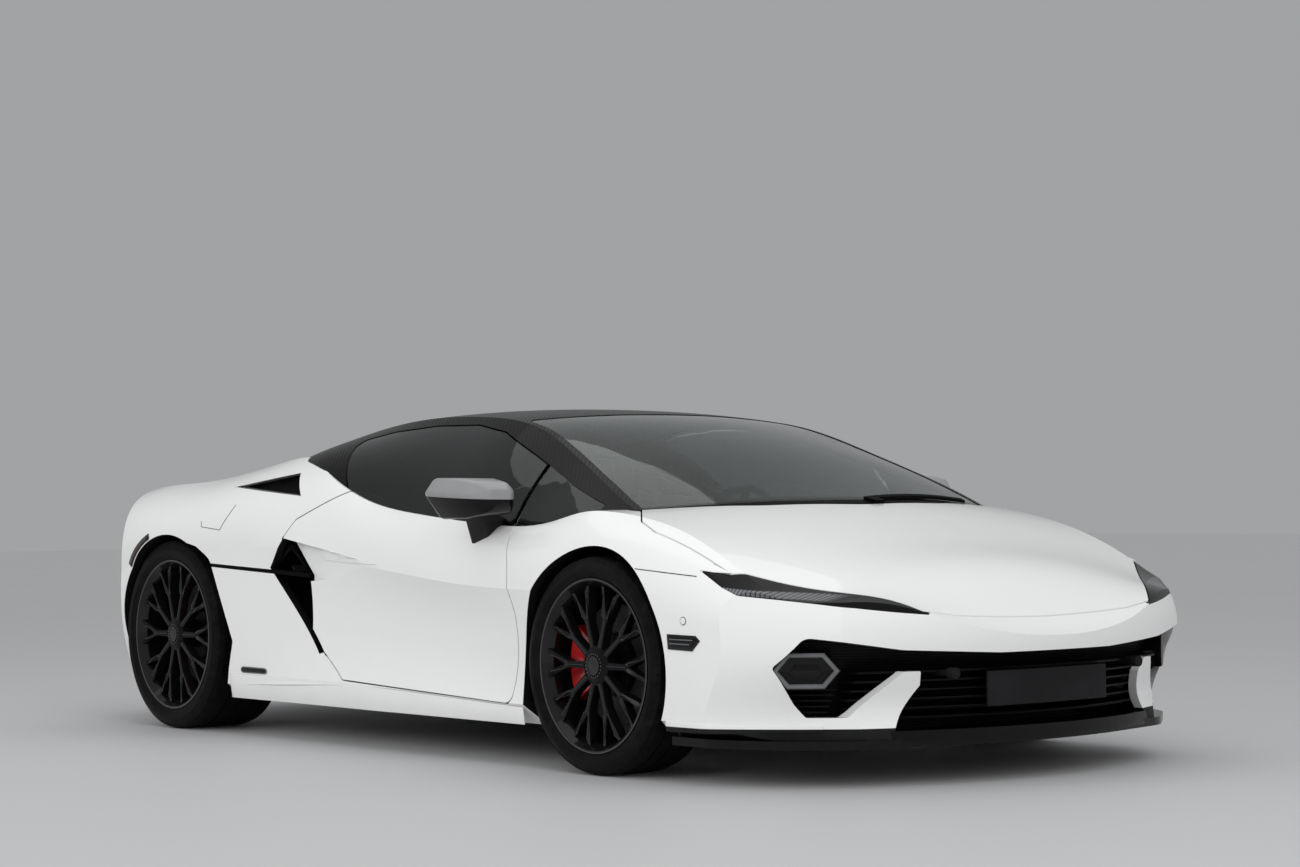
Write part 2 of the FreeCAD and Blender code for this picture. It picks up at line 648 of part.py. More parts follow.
# ---------------------------------------------------------------- helpers: bodies and sketches

def origin_item(body, role):
    for item in body.Origin.OriginFeatures:
        if item.Role == role:
            return item
    raise ValueError(role)


def new_body(label):
    body = doc.addObject("PartDesign::Body", label)
    body.Label = label
    return body


def sketch(body, name, role, points, lift=0):
    """Closed polygon of (across, up) sizes on an origin plane, each corner tied to the origin."""
    item = body.newObject("Sketcher::SketchObject", name)
    item.AttachmentSupport = [(origin_item(body, role), "")]
    item.MapMode = "FlatFace"
    if lift:
        item.setExpression("AttachmentOffset.Base.z", as_size(lift).text)
    points = [(as_size(across), as_size(up)) for across, up in points]
    count = len(points)
    corners = [Vector(float(across), float(up), 0) for across, up in points]
    for i in range(count):
        item.addGeometry(Part.LineSegment(corners[i], corners[(i + 1) % count]), False)
    for i in range(count):
        item.addConstraint(Sketcher.Constraint("Coincident", i, 2, (i + 1) % count, 1))
    for i, pair in enumerate(points):
        for kind, value in zip(("DistanceX", "DistanceY"), pair):
            if abs(float(value)) < 1e-9:
                axis = -2 if kind == "DistanceX" else -1
                item.addConstraint(Sketcher.Constraint("PointOnObject", i, 1, axis))
                continue
            ends = (-1, 1, i, 1) if float(value) > 0 else (i, 1, -1, 1)
            number = item.addConstraint(Sketcher.Constraint(kind, *ends, abs(float(value))))
            shown = value if float(value) > 0 else -value
            item.setExpression(f"Constraints[{number}]", shown.text)
    return item


def revolved(body, name, points):
    """Ring turned about Y from a (radius, y) outline."""
    item = body.newObject("PartDesign::Revolution", name)
    item.Profile = sketch(body, name + "Sketch", "XY_Plane", points)
    item.ReferenceAxis = (origin_item(body, "Y_Axis"), [""])
    item.Angle = 360
    return item


# ---------------------------------------------------------------- wheels

def tyre(label, radius, bead, width):
    """Tyre about Y with square shoulders and three grooves."""
    body = new_body(label)
    half = width / 2
    groove = size["tread_groove"]
    outline = [(bead, -half + 16), (bead + 22, -half), (radius - 34, -half), (radius - 6, -half + 16),
               (radius, -half + 36)]
    for share in (-0.38, 0, 0.38):
        middle = half * share
        outline += [(radius, middle - 5), (radius - groove, middle - 4),
                    (radius - groove, middle + 4), (radius, middle + 5)]
    outline += [(radius, half - 36), (radius - 6, half - 16), (radius - 34, half),
                (bead + 22, half), (bead, half - 16)]
    revolved(body, label + "Ring", outline)
    return body


def rim(label, flange, width):
    """Rim with branching spokes, hub and brake disc, outboard side towards +Y."""
    body = new_body(label)
    half = width / 2 - 12
    revolved(body, label + "Barrel", [
        (flange, -half), (flange, -half + 10), (flange - 22, -half + 44),
        (flange - 22, half - 44), (flange, half - 10), (flange, half), (flange - 9, half),
        (flange - 30, half - 34), (flange - 30, -half + 40), (flange - 12, -half)])
    hub = size["hub_r"]
    disc = size["disc_r"]
    bore = size["axle_r"] + size["axle_play"]
    inner_face = as_size(-18)
    face = half - 16
    revolved(body, label + "Hub", [
        (bore, inner_face), (disc, inner_face), (disc, inner_face + size["disc_thick"]),
        (hub + 40, inner_face + size["disc_thick"]), (hub + 34, 34), (hub - 8, 40), (hub, face - 30),
        (hub, face), (hub - 16, face + 8), (0, face + 8), (0, 44), (bore, 44)])
    root = hub - 12
    end = flange - 26
    fork = flange * 0.56
    stem = as_size(9)
    blade = as_size(13)
    spread = flange * 0.145
    spoke = body.newObject("PartDesign::Pad", label + "Spoke")
    spoke.Profile = sketch(body, label + "SpokeSketch", "XZ_Plane", [
        (root, -stem - 3), (fork - 16, -stem), (end, -spread - blade / 2), (end, -spread + blade / 2),
        (fork + 12, 0), (end, spread - blade / 2), (end, spread + blade / 2), (fork - 16, stem),
        (root, stem + 3)], lift=-(face - size["spoke_depth"] / 2))
    spoke.Midplane = True
    spoke.setExpression("Length", size["spoke_depth"].text)
    pattern = body.newObject("PartDesign::PolarPattern", label + "Spokes")
    pattern.Originals = [spoke]
    pattern.Axis = (origin_item(body, "Y_Axis"), [""])
    pattern.Angle = 360
    pattern.setExpression("Occurrences", size["spoke_count"].text)
    body.Tip = pattern
    return body


for end, axle, track, radius, flange, width in (
        ("front", "front_axle_x", "front_track_half", "front_tyre_r", "front_rim_r",
         "front_tyre_width"),
        ("rear", "rear_axle_x", "rear_track_half", "rear_tyre_r", "rear_rim_r",
         "rear_tyre_width")):
    for side, sign in (("left", 1), ("right", -1)):
        turn = 0 if sign > 0 else 180
        for item in (tyre(f"tyre_{end}_{side}", size[radius], size[flange], size[width]),
                     rim(f"rim_{end}_{side}", size[flange], size[width])):
            place(item, size[axle], size[track] * sign, size[radius], angle=turn)

# ---------------------------------------------------------------- hubs and calipers

def caliper(facing):
    """Brake caliper round the disc, on the side that faces +X or -X."""
    disc = mm("disc_r")
    outer_r = disc + 20
    low = -18 - 26
    high = -18 + mm("disc_thick") + 24
    ring = cross_cylinder(outer_r, 0, 0, low, high).cut(cross_cylinder(118, 0, 0, low, high))
    slot = cross_cylinder(disc + 6, 0, 0, -18 - 6, -18 + mm("disc_thick") + 6)
    wedge = side_prism([(0, 0), (300, 205), (300, -205)], low, high)
    return biggest(ring.cut(slot).common(wedge if facing > 0 else wedge.mirror(
        Vector(0, 0, 0), Vector(1, 0, 0))))


def upright(track, radius, steer_y):
    """Hub carrier inboard of the disc with its stub axle, in the wheel's own frame."""
    back = steer_y - track
    carrier = cross_cylinder(78, 0, 0, back - 22, -30)
    leg = block((-26, 26), (back - 18, back + 18), (-118, 118))
    axle = cross_cylinder(mm("axle_r"), 0, 0, -40, 40)
    return carrier.fuse(leg).fuse(axle)


def hub_assembly(axle_x, track, radius, facing, steer_y):
    parts = upright(track, radius, steer_y)
    clamp = caliper(facing)
    bridge = block((facing * 60, facing * 125) if facing > 0 else (facing * 125, facing * 60),
                   (steer_y - track - 15, -44), (-40, 40))
    whole = Part.Compound([biggest(parts.fuse(bridge)), clamp])
    whole.translate(Vector(axle_x, track, radius))
    return whole


front_hub = hub_assembly(mm("front_axle_x"), mm("front_track_half"), mm("front_tyre_r"), -1,
                         mm("steer_axis_y"))
feature("front_hub_left", front_hub)
feature("front_hub_right", mirrored(front_hub))
rear_hub = hub_assembly(mm("rear_axle_x"), mm("rear_track_half"), mm("rear_tyre_r"), 1,
                        mm("rear_track_half") - 46)
feature("rear_hubs", both_sides(rear_hub))

# ---------------------------------------------------------------- chassis

FLOOR_TOP = mm("floor_z") + 6 + mm("skin_wall")
tub_inset = mm("door_wall") + mm("tub_gap")
tub_span = (mm("bulkhead_x"), mm("footwell_x"))
wall = mm("tub_wall")
tub_outer = lower_body(tub_inset).fuse(block(tub_span, (-790, 790), (FLOOR_TOP, 330)))
tub_outer = tub_outer.common(block(tub_span, (-1000, 1000), (FLOOR_TOP, 860)))
tub_inner = lower_body(tub_inset + wall).fuse(block(tub_span, (-790 + wall, 790 - wall),
                                                   (FLOOR_TOP + wall, 340)))
inside_span = (tub_span[0] + wall, tub_span[1] - wall)
tub_inner = tub_inner.common(block(inside_span, (-1000, 1000), (FLOOR_TOP + wall, 1300)))
tub = tub_outer.cut(tub_inner).cut(WELLS)
tub = tub.cut(block(inside_span, (-1000, 1000), (mm("sill_z"), 1300)))
tunnel = side_prism([(-666, 200), (700, 200), (620, 520, 60), (150, 470, 80), (-300, 450, 60),
                     (-500, 560, 40), (-666, 600)], -120, 120)
tub = biggest(tub.fuse(tunnel).cut(sill).cut(mirrored(sill)).cut(undertray))
feature("cabin_tub", tub)

ARM_TIP = 18


def wishbone(x, y_end, half, z_from, z_to):
    """Arm from the tower to the hub carrier, narrow at its tip to clear the turned brake disc."""
    return plan_prism([(x - half, 500), (x + half, 500), (x + half, y_end - 40),
                       (x + ARM_TIP, y_end + 6), (x - ARM_TIP, y_end + 6), (x - half, y_end - 40)],
                      z_from, z_to)


RAIL_Y = 470
LID_REST = 0.3
frames = []
for sign in (1, -1):
    rail = sorted((sign * 400, sign * RAIL_Y))
    tower = sorted((sign * RAIL_Y, sign * 548))
    frames.append(block((tub_span[1], 2000), rail, (210, 290)))
    frames.append(block((1170, 1350), tower, (180, 560)))
    frames.append(block((-2040, tub_span[0]), rail, (300, 380)))
    frames.append(block((-1480, -1310), tower, (200, 620)))
    for x, y_end, z_middle in ((mm("front_axle_x"), mm("steer_axis_y"), mm("front_tyre_r")),
                               (mm("rear_axle_x"), mm("rear_track_half") - 46,
                                mm("rear_tyre_r"))):
        for arm in (wishbone(x, y_end, 34, z_middle + 118.3, z_middle + 136),
                    wishbone(x, y_end, 40, z_middle - 138, z_middle - 118.3)):
            frames.append(arm if sign > 0 else mirrored(arm))
frames.append(block((1950, 2000), (-470, 470), (210, 290)))
frames.append(block((-2080, -2020), (-470, 470), (300, 380)))
frames.append(block((1170, 1350), (-470, 470), (225, 255)))
frames.append(block((-1480, -1310), (-470, 470), (310, 350)))
for sign in (1, -1):
    lid_post = block((-1800, -1760), sorted((sign * 400, sign * 440)), (340, 1000))
    lid_post = biggest(lid_post.cut(cover))
    lid_post.translate(Vector(0, 0, -LID_REST))
    frames.append(lid_post)
subframes = frames[0].multiFuse(frames[1:])
engine = block((-1520, tub_span[0]), (-300, 300), (FLOOR_TOP + 2, 700))
engine = engine.fuse(block((-2010, -1500), (-170, 170), (300, 480))).cut(skin)
engine = biggest(engine.cut(subframes))
feature("engine", engine)

feature("undertray", undertray)
subframes = kept(subframes.cut(undertray).cut(tub).cut(tray))
feature("subframes", subframes)

liner = wheel_wells(mm("liner_wall")).cut(WELLS).common(skin_inner)
liner = liner.common(block((-2450, 2450), (-1300, 1300), (FLOOR_TOP - 20, 1300)))
for tool in (subframes, undertray, tub, splitter):
    liner = liner.cut(tool)
feature("arch_liners", kept(liner, 50000))

LUGGAGE = ((1365, 2040), (-440, 440), (290, 640))
LUGGAGE_WALL = 8
luggage = block(*LUGGAGE).common(lower_body(mm("skin_wall") + 12))
luggage = luggage.cut(block((LUGGAGE[0][0] + LUGGAGE_WALL, LUGGAGE[0][1] - LUGGAGE_WALL),
                            (LUGGAGE[1][0] + LUGGAGE_WALL, LUGGAGE[1][1] - LUGGAGE_WALL),
                            (LUGGAGE[2][0] + LUGGAGE_WALL, 1000)))
feature("luggage_tub", biggest(luggage))

# ---------------------------------------------------------------- side intakes and diffuser

duct_outer = side_prism([
    (-440, 404), (-440, 600), (-560, 716), (-700, 629), (-395, 312)], 780, 1300)
duct_outer = duct_outer.common(skin_inner)
duct_space = side_prism([(-452, 425), (-452, 596), (-560, 700), (-680, 629), (-432, 352)], 800, 1300)
duct = duct_outer.cut(duct_space)
low_blade = block((-480, -432), (840, 955), (404, 413)).common(duct_outer)
duct = biggest(duct.fuse(low_blade).cut(door_hole).cut(blade).cut(tub))
vent_back = skin_inner.cut(lower_body(mm("skin_wall") + 14))
vent_back = vent_back.common(side_prism(moved_outline(VENT_OUTLINE, 10), 600, 1300))
vent_back = vent_back.cut(canopy_outer).cut(door_hole)
feature("side_intakes", both_sides(Part.Compound([duct, biggest(blade), biggest(vent_back)])))

FIN_HALF = 5
fins = []
for y in (-480, -290, -100, 100, 290, 480):
    end = -2272 + 0.0003 * y * y
    fins.append(side_prism([(-1900, 232), (end, 300), (end, 240, 30), (-1900, 190)],
                           y - FIN_HALF, y + FIN_HALF))
fins = Part.Compound(fins).cut(lower_body(mm("skin_wall") / 2)).Solids
diffuser = skin.common(block((-2450, -2080), (-1300, 1300), (0, 330))).multiFuse(fins).cut(undertray)
feature("rear_diffuser", biggest(diffuser))

pipe = front_prism([(78, 0), (40, 62), (-40, 62), (-78, 0), (-40, -62), (40, -62)], -2336, -2190)
pipe = pipe.cut(front_prism([(66, 0), (34, 52), (-34, 52), (-66, 0), (-34, -52), (34, -52)],
                            -2340, -2210))
pipe.translate(Vector(0, 0, 590))
feature("exhaust_tip", biggest(pipe))
feature("rear_grille", biggest(mesh.cut(pipe)))

# ---------------------------------------------------------------- mirrors and wiper

head = plan_prism([(548, 1112, 12), (580, 968, 30), (800, 962, 40), (834, 1010, 40),
                   (770, 1100, 60), (640, 1123, 40)], 780, 960)
head = head.common(side_prism([(530, 886, 10), (640, 937, 40), (800, 931, 40), (838, 868, 30),
                               (790, 804, 30), (610, 800, 30)], 900, 1200))
stalk = front_prism([(880, 712, 10), (905, 700), (1020, 830), (960, 830), (880, 800)], 610, 706)
mirror = biggest(head.fuse(stalk).cut(outer))
mirror = mirror.cut(door_glass_span.common(glasshouse(2)))
feature("mirror_left", biggest(mirror))
feature("mirror_right", mirrored(biggest(mirror)))

arm = plan_prism([(1404, 60), (1462, 60), (1462, 104), (1412, 112), (1300, 640), (1286, 636)],
                 700, 1100)
arm = arm.common(glasshouse(-12).fuse(lower_body(-12))).cut(glasshouse(-2).fuse(outer))
arm = biggest(arm.cut(bonnet_hole))
feature("wiper", arm)

# ---------------------------------------------------------------- cabin

seat_base = FLOOR_TOP + wall
cushion_profile = [(-400, seat_base), (120, seat_base, 20), (175, 330, 50), (60, 352, 60),
                   (-300, 300, 30), (-400, 300)]
back_profile = [(-420, 296), (-300, 296, 40), (-250, 345, 40), (-440, 910, 60), (-545, 910, 30)]
head_profile = [(-455, 880), (-530, 880), (-580, 1040, 30), (-500, 1050, 30)]
seat_y = mm("seat_y") + 55
seat = []
for profile, half_width in ((cushion_profile, mm("seat_width") / 2),
                            (back_profile, mm("seat_width") / 2 - 10), (head_profile, 120)):
    seat.append(side_prism(profile, seat_y - half_width, seat_y + half_width))
seat = biggest(seat[0].multiFuse(seat[1:]).cut(tub))
feature("seats", both_sides(seat))

dash = side_prism([(452, 600, 30), (500, 770, 30), (620, 800, 60), (1074, 800), (1074, 772),
                   (816, 740), (814, 640), (640, 560, 40)], -744, 744)
WHEEL_AT = Vector(330, 410, 735)
COLUMN_R = 24
lean = math.radians(mm("column_lean"))
column_way = Vector(math.cos(lean), 0, -math.sin(lean))
column_bore = Part.makeCylinder(COLUMN_R + 0.3, 400, WHEEL_AT, column_way)
dash = dash.cut(tub).cut(cowl).cut(column_bore)
feature("dashboard", biggest(dash))

ring = doc.addObject("Part::Torus", "WheelRing")
bind(ring, Radius1=size["wheel_ring_r"], Radius2=size["wheel_ring_tube"])
boss = doc.addObject("Part::Cylinder", "WheelBoss")
bind(boss, Radius=48, Height=34)
place(boss, 0, 0, -24)
bar = doc.addObject("Part::Box", "WheelBar")
bind(bar, Length=size["wheel_ring_r"] * 2, Width=34, Height=12)
place(bar, -size["wheel_ring_r"], -17, -10)
post = doc.addObject("Part::Box", "WheelPost")
bind(post, Length=30, Width=size["wheel_ring_r"], Height=12)
place(post, -15, 0, -10)
column = doc.addObject("Part::Cylinder", "WheelColumn")
bind(column, Radius=COLUMN_R, Height=220)
place(column, 0, 0, -230)
steering_wheel = doc.addObject("Part::MultiFuse", "steering_wheel")
steering_wheel.Label = "steering_wheel"
steering_wheel.Shapes = [ring, boss, bar, post, column]
steering_wheel.Placement = Placement(WHEEL_AT, Rotation(Vector(0, 1, 0), -90 + mm("column_lean"))
                                     .multiply(Rotation(Vector(0, 0, 1), -90)))

# ---------------------------------------------------------------- write the parts

NODES = [
    "cabin_tub", "subframes", "engine", "luggage_tub", "undertray", "arch_liners", "roof_frame",
    "windscreen", "quarter_glass", "cowl", "wiper", "front_wings", "headlamps", "front_bumper",
    "front_splitter", "front_grille", "daylight_lamps", "side_sills", "side_intakes", "rear_quarters",
    "rear_bumper", "rear_grille", "tail_lamps", "rear_diffuser", "exhaust_tip", "rear_hubs",
    "seats", "dashboard", "steering_wheel", "bonnet", "engine_cover",
    "door_left", "door_right", "door_glass_left", "door_glass_right", "mirror_left",
    "mirror_right", "front_hub_left", "front_hub_right",
    "rim_front_left", "rim_front_right", "rim_rear_left", "rim_rear_right",
    "tyre_front_left", "tyre_front_right", "tyre_rear_left", "tyre_rear_right",
]

doc.recompute()
by_label = {item.Label: item for item in doc.Objects}
for item in doc.Objects:
    if {"Invalid", "Error"} & set(item.State):
        raise RuntimeError(f"{item.Label} failed: {item.State}")
for name in NODES:
    shape = by_label[name].Shape
    if shape.isNull() or not shape.isValid():
        raise RuntimeError(f"{name} has no valid shape")
os.makedirs("parts", exist_ok=True)
for name in NODES:
    by_label[name].Shape.exportStep(f"parts/{name}.step")
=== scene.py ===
"""Finishes and fine pieces of the supercar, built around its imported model."""

import math

import bpy
from mathutils import Matrix, Vector


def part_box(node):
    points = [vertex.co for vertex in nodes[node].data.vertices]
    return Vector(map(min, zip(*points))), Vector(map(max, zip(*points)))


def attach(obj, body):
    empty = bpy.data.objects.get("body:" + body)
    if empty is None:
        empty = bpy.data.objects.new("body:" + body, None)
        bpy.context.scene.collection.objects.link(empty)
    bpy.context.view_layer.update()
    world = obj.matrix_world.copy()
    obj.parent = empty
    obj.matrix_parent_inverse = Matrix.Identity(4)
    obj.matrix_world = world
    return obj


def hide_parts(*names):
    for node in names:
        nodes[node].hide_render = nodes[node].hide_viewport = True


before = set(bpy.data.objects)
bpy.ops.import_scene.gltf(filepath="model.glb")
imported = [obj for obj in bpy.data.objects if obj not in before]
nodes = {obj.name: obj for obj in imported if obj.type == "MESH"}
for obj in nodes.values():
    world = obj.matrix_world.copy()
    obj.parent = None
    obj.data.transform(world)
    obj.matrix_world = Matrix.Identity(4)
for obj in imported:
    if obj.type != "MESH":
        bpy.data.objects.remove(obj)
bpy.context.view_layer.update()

UP = Vector((0, 0, 1))
SIDES = (("left", 1), ("right", -1))

# ---- finishes


class Tone:
    """A value that changes over a surface. Sums on it add Math nodes."""

    def __init__(self, finish, socket):
        self.finish = finish
        self.socket = socket

    def sum(self, operation, *terms):
        return self.finish.node("ShaderNodeMath", {"operation": operation}, terms)

    def __neg__(self):
        return self.sum("MULTIPLY", self, -1)

    def __pow__(self, other):
        return self.sum("POWER", self, other)

    def __gt__(self, other):
        return self.sum("GREATER_THAN", self, other)

    def __lt__(self, other):
        return self.sum("LESS_THAN", self, other)

    def size(self):
        return self.sum("ABSOLUTE", self)

    def wave(self):
        return self.sum("SINE", self)

    def part(self):
        """What is left after the whole number."""
        return self.sum("FRACT", self)

    def whole(self):
        return self.sum("FLOOR", self)

    def off_middle(self):
        """How far the part after the whole number lies from a half."""
        return (self.part() - 0.5).size()

    def ease(self, low, high):
        """0 below low, 1 above high, smooth in between."""
        return self.finish.node("ShaderNodeMapRange", {"interpolation_type": "SMOOTHSTEP"},
                                {"Value": self, "From Min": low, "From Max": high})

    def band(self, low, high, edge):
        """1 between low and high, with soft edges."""
        return self.ease(low - edge, low + edge) - self.ease(high - edge, high + edge)


def plain_sum(name, operation):
    """Gives tones one of the signs of arithmetic, with a number on either side."""
    setattr(Tone, f"__{name}__", lambda self, other: self.sum(operation, self, other))
    setattr(Tone, f"__r{name}__", lambda self, other: self.sum(operation, other, self))


plain_sum("add", "ADD")
plain_sum("sub", "SUBTRACT")
plain_sum("mul", "MULTIPLY")


class Finish:
    """One procedural material."""

    def __init__(self, name, **constants):
        self.material = bpy.data.materials.new(name)
        self.material.use_nodes = True
        self.tree = self.material.node_tree
        self.shader = self.tree.nodes["Principled BSDF"]
        self.place = self.node("ShaderNodeTexCoord", out="Object")
        self.set(**constants)

    def node(self, kind, settings=None, terms=(), out=0):
        """Any node: its settings first, then the values or links of its sockets."""
        node = self.tree.nodes.new(kind)
        for name, value in (settings or {}).items():
            if name == "stops":
                first, last = node.color_ramp.elements
                first.position, first.color = value[0]
                last.position, last.color = value[-1]
                for position, color in value[1:-1]:
                    node.color_ramp.elements.new(position).color = color
            else:
                setattr(node, name, value)
        pairs = terms.items() if isinstance(terms, dict) else enumerate(terms)
        for key, value in pairs:
            self.feed(node.inputs[key], value)
        return Tone(self, node.outputs[out])

    def feed(self, socket, value):
        if isinstance(value, Tone):
            self.tree.links.new(value.socket, socket)
        else:
            socket.default_value = value

    def set(self, **values):
        """Feeds the shader's sockets; base_color stands for Base Color."""
        for name, value in values.items():
            title = name.replace("_", " ").title().replace("Ior", "IOR")
            if isinstance(value, (tuple, list)) and len(value) == 3:
                value = (*value, 1)
            self.feed(self.shader.inputs[title], value)
        return self

    def parts(self, vector):
        """The three numbers of a vector."""
        node = self.tree.nodes.new("ShaderNodeSeparateXYZ")
        self.tree.links.new(vector.socket, node.inputs[0])
        return [Tone(self, output) for output in node.outputs]

    def axes(self):
        """x, y and z in metres."""
        return self.parts(self.place)

    def facing(self):
        """x, y and z of the way that the surface faces."""
        return self.parts(self.node("ShaderNodeTexCoord", out="Normal"))

    def noise(self, scale, detail=2, roughness=0.5):
        return self.node("ShaderNodeTexNoise", {},
                         {"Vector": self.place, "Scale": scale, "Detail": detail,
                          "Roughness": roughness})

    def stretched_noise(self, scale, detail=2):
        """Noise with its own scale along each axis."""
        at = self.node("ShaderNodeMapping", {}, {"Vector": self.place, "Scale": scale})
        return self.node("ShaderNodeTexNoise", {}, {"Vector": at, "Scale": 1, "Detail": detail})

    def cells(self, scale):
        return self.node("ShaderNodeTexVoronoi", {}, {"Vector": self.place, "Scale": scale})

    def blend(self, amount, color, other):
        terms = {0: amount}
        for key, value in ((6, color), (7, other)):
            terms[key] = (*value, 1) if isinstance(value, tuple) and len(value) == 3 else value
        return self.node("ShaderNodeMix", {"data_type": "RGBA"}, terms, out=2)

    def tint(self, amount, color, other, **values):
        """A base color between two, with the values of other sockets."""
        return self.set(base_color=self.blend(amount, color, other), **values)

    def bump(self, height, depth):
        """Bump of that depth in metres; a second call lies on the first."""
        under = self.shader.inputs["Normal"]
        terms = {"Height": height, "Distance": depth, "Strength": 1.0}
        if under.links:
            terms["Normal"] = Tone(self, under.links[0].from_socket)
        self.feed(under, self.node("ShaderNodeBump", {}, terms))
        return self


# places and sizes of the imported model, in metres
AXLES = {"front": Vector((1.26, 0.861, 0.34325)), "rear": Vector((-1.398, 0.835, 0.3642))}
RADII = {"front": 0.34325, "rear": 0.3642}
RIM_RADII = {"front": 0.275, "rear": 0.288}
FACES = {"front": 0.0995, "rear": 0.1345}

WHITE = (0.82, 0.82, 0.81)
BLACK = (0.003, 0.003, 0.0035)
# where the white panels are painted black: painted shade on the arch and duct returns, and the
# black lip under the nose
ARCH_SHADE = {"front": (0.378, 0.380), "rear": (0.462, 0.466)}
DUCT_X = (-0.72, -0.33)
DUCT_Z = (0.30, 0.745)
DUCT_Y = 0.78
LIP_TOP = 0.175
LIP_REAR = 1.3


def grey(level):
    return (level, level, level)


def toned(color, factor, more=0.0):
    """A paler or darker shade of a colour."""
    return tuple(c * factor + more for c in color)


def round_axle(x, z, end):
    """How far each point lies ahead of, above and away from an axle line."""
    across = x - AXLES[end].x
    up = z - AXLES[end].z
    return across, up, (across * across + up * up) ** 0.5


def body_lacquer(name, color, shade):
    """Car paint: clear coat over a smooth base, a breath of road film low down.

    The returns inside the wheel arches and the side ducts are painted black as painted
    shade, and the lip under the nose is black.
    """
    finish = Finish(name, coat_roughness=0.03, coat_ior=1.5, specular_ior_level=0.5)
    x, y, z = finish.axes()
    edge_on = 1 - finish.facing()[1].size().ease(0.02, 0.06)
    front, rear = (1 - round_axle(x, z, end)[2].ease(*ARCH_SHADE[end]) for end in AXLES)
    duct = x.band(*DUCT_X, 0.002) * z.band(*DUCT_Z, 0.002) * (y.size() > DUCT_Y)
    lip = (1 - z.ease(LIP_TOP, LIP_TOP + 0.001)) * (x > LIP_REAR)
    # painted shade: the returns that face into the arches and ducts are painted black; the lip
    # under the nose is black paint
    painted_shade_and_lip = (edge_on * (front + rear + duct)).ease(0.3, 0.7)
    painted_shade_and_lip = painted_shade_and_lip + lip - painted_shade_and_lip * lip
    cloud = finish.noise(1.7, 4)
    peel = finish.noise(420, 1)
    film = (1 - z.ease(0.12, 0.42)) * finish.noise(9, 5).ease(0.42, 0.8)
    paint_tone = finish.blend(cloud * 0.35 + film * 0.3, color, shade)
    finish.tint(painted_shade_and_lip, paint_tone, BLACK,
                roughness=0.26 + cloud * 0.08 + film * 0.2 + painted_shade_and_lip * 0.3,
                coat_weight=1 - painted_shade_and_lip)
    return finish.bump(peel, 0.00003)


def gloss_black(name, color=BLACK, roughness=0.16, coat=0.3):
    """Gloss black trim with a fine mould texture under its coat."""
    finish = Finish(name, coat_roughness=0.04, coat_weight=coat, specular_ior_level=0.2)
    haze = finish.noise(14, 5)
    finish.tint(haze, color, toned(color, 2.2, 0.001),
                roughness=roughness + haze.ease(0.45, 0.8) * 0.14)
    return finish.bump(finish.noise(600, 1), 0.00002)


def grained_plastic(name, color, grain=850, gloss=0.22):
    """Satin moulded plastic with an even leather-like grain."""
    finish = Finish(name, specular_ior_level=gloss)
    pits = finish.cells(grain)
    dust = finish.noise(6, 6)
    finish.tint(dust.ease(0.4, 0.85), color, toned(color, 1.7, 0.003),
                roughness=0.5 + pits * 0.2 + dust * 0.08)
    return finish.bump(pits, 0.00018)


TOWS_PER_METRE = 190


def woven_roof():
    """Twill of dark fibre tows under a thin clear coat, the tows' crowns painted lighter as painted
    sheen.
    """
    finish = Finish("woven_roof", coat_weight=0.15, coat_roughness=0.02, specular_ior_level=0.1)
    x, y, _ = finish.axes()
    across = y * TOWS_PER_METRE
    along = x * TOWS_PER_METRE
    step = (across.whole() + along.whole()) * 0.25
    over = (step.part() < 0.45) * 1.0
    tow = over * across.part() + (1 - over) * along.part()
    crown = 1 - (tow - 0.5).size() * 2
    # painted sheen: each tow is lighter along its crown, more on alternate tows
    painted_sheen = over * 0.6 + 0.2
    finish.tint(painted_sheen * crown, (0.0015, 0.0015, 0.0018), (0.008, 0.008, 0.009),
                roughness=0.32 + over * 0.14)
    return finish.bump(crown, 0.0001)


def tinted_glass(name, color, mirror=0.5):
    """Window glass, tinted in its thickness, with a little dust on it."""
    finish = Finish(name, ior=1.48, transmission_weight=1.0, specular_ior_level=mirror)
    dust = finish.noise(22, 6).ease(0.5, 0.9)
    finish.tint(dust * 0.4, color, toned(color, 0.75), roughness=dust * 0.03)
    return finish


def tyre_rubber(name, end, sign):
    """Rubber with moulded rings on the wall and cut blocks on the tread."""
    finish = Finish(name, specular_ior_level=0.12)
    x, y, z = finish.axes()
    across, up, radius = round_axle(x, z, end)
    outer = RADII[end]
    turn = up.sum("ARCTAN2", up, across)
    sweep = (y - sign * AXLES[end].y).size()
    wall = 1 - radius.ease(outer - 0.022, outer - 0.012)
    rings = (radius * 1500).wave() * wall
    blocks = (turn * 11.5 + sweep * 26).off_middle()
    cuts = (1 - blocks.ease(0.02, 0.06)) * (1 - wall) * sweep.ease(0.02, 0.03)
    serrated = radius.band(outer - 0.046, outer - 0.03, 0.002)
    serration = (turn * 60).off_middle() * wall * serrated
    scuff = finish.noise(26, 6).ease(0.35, 0.8)
    finish.tint(scuff, grey(0.003), (0.009, 0.0088, 0.0086),
                roughness=0.62 + scuff * 0.2 - wall * 0.12)
    finish.bump(rings, 0.0003)
    finish.bump(serration, 0.0012)
    finish.bump(1 - cuts, 0.004)
    return finish.bump(finish.noise(700, 2), 0.0001)


# the bare iron disc, and the caliper that grips it, seen from the axle
DISC_RADII = (0.100, 0.200)
DISC_FACES = (-0.022, 0.0155)
CALIPER_RADIUS = 0.115
CALIPER_REACH = 0.085


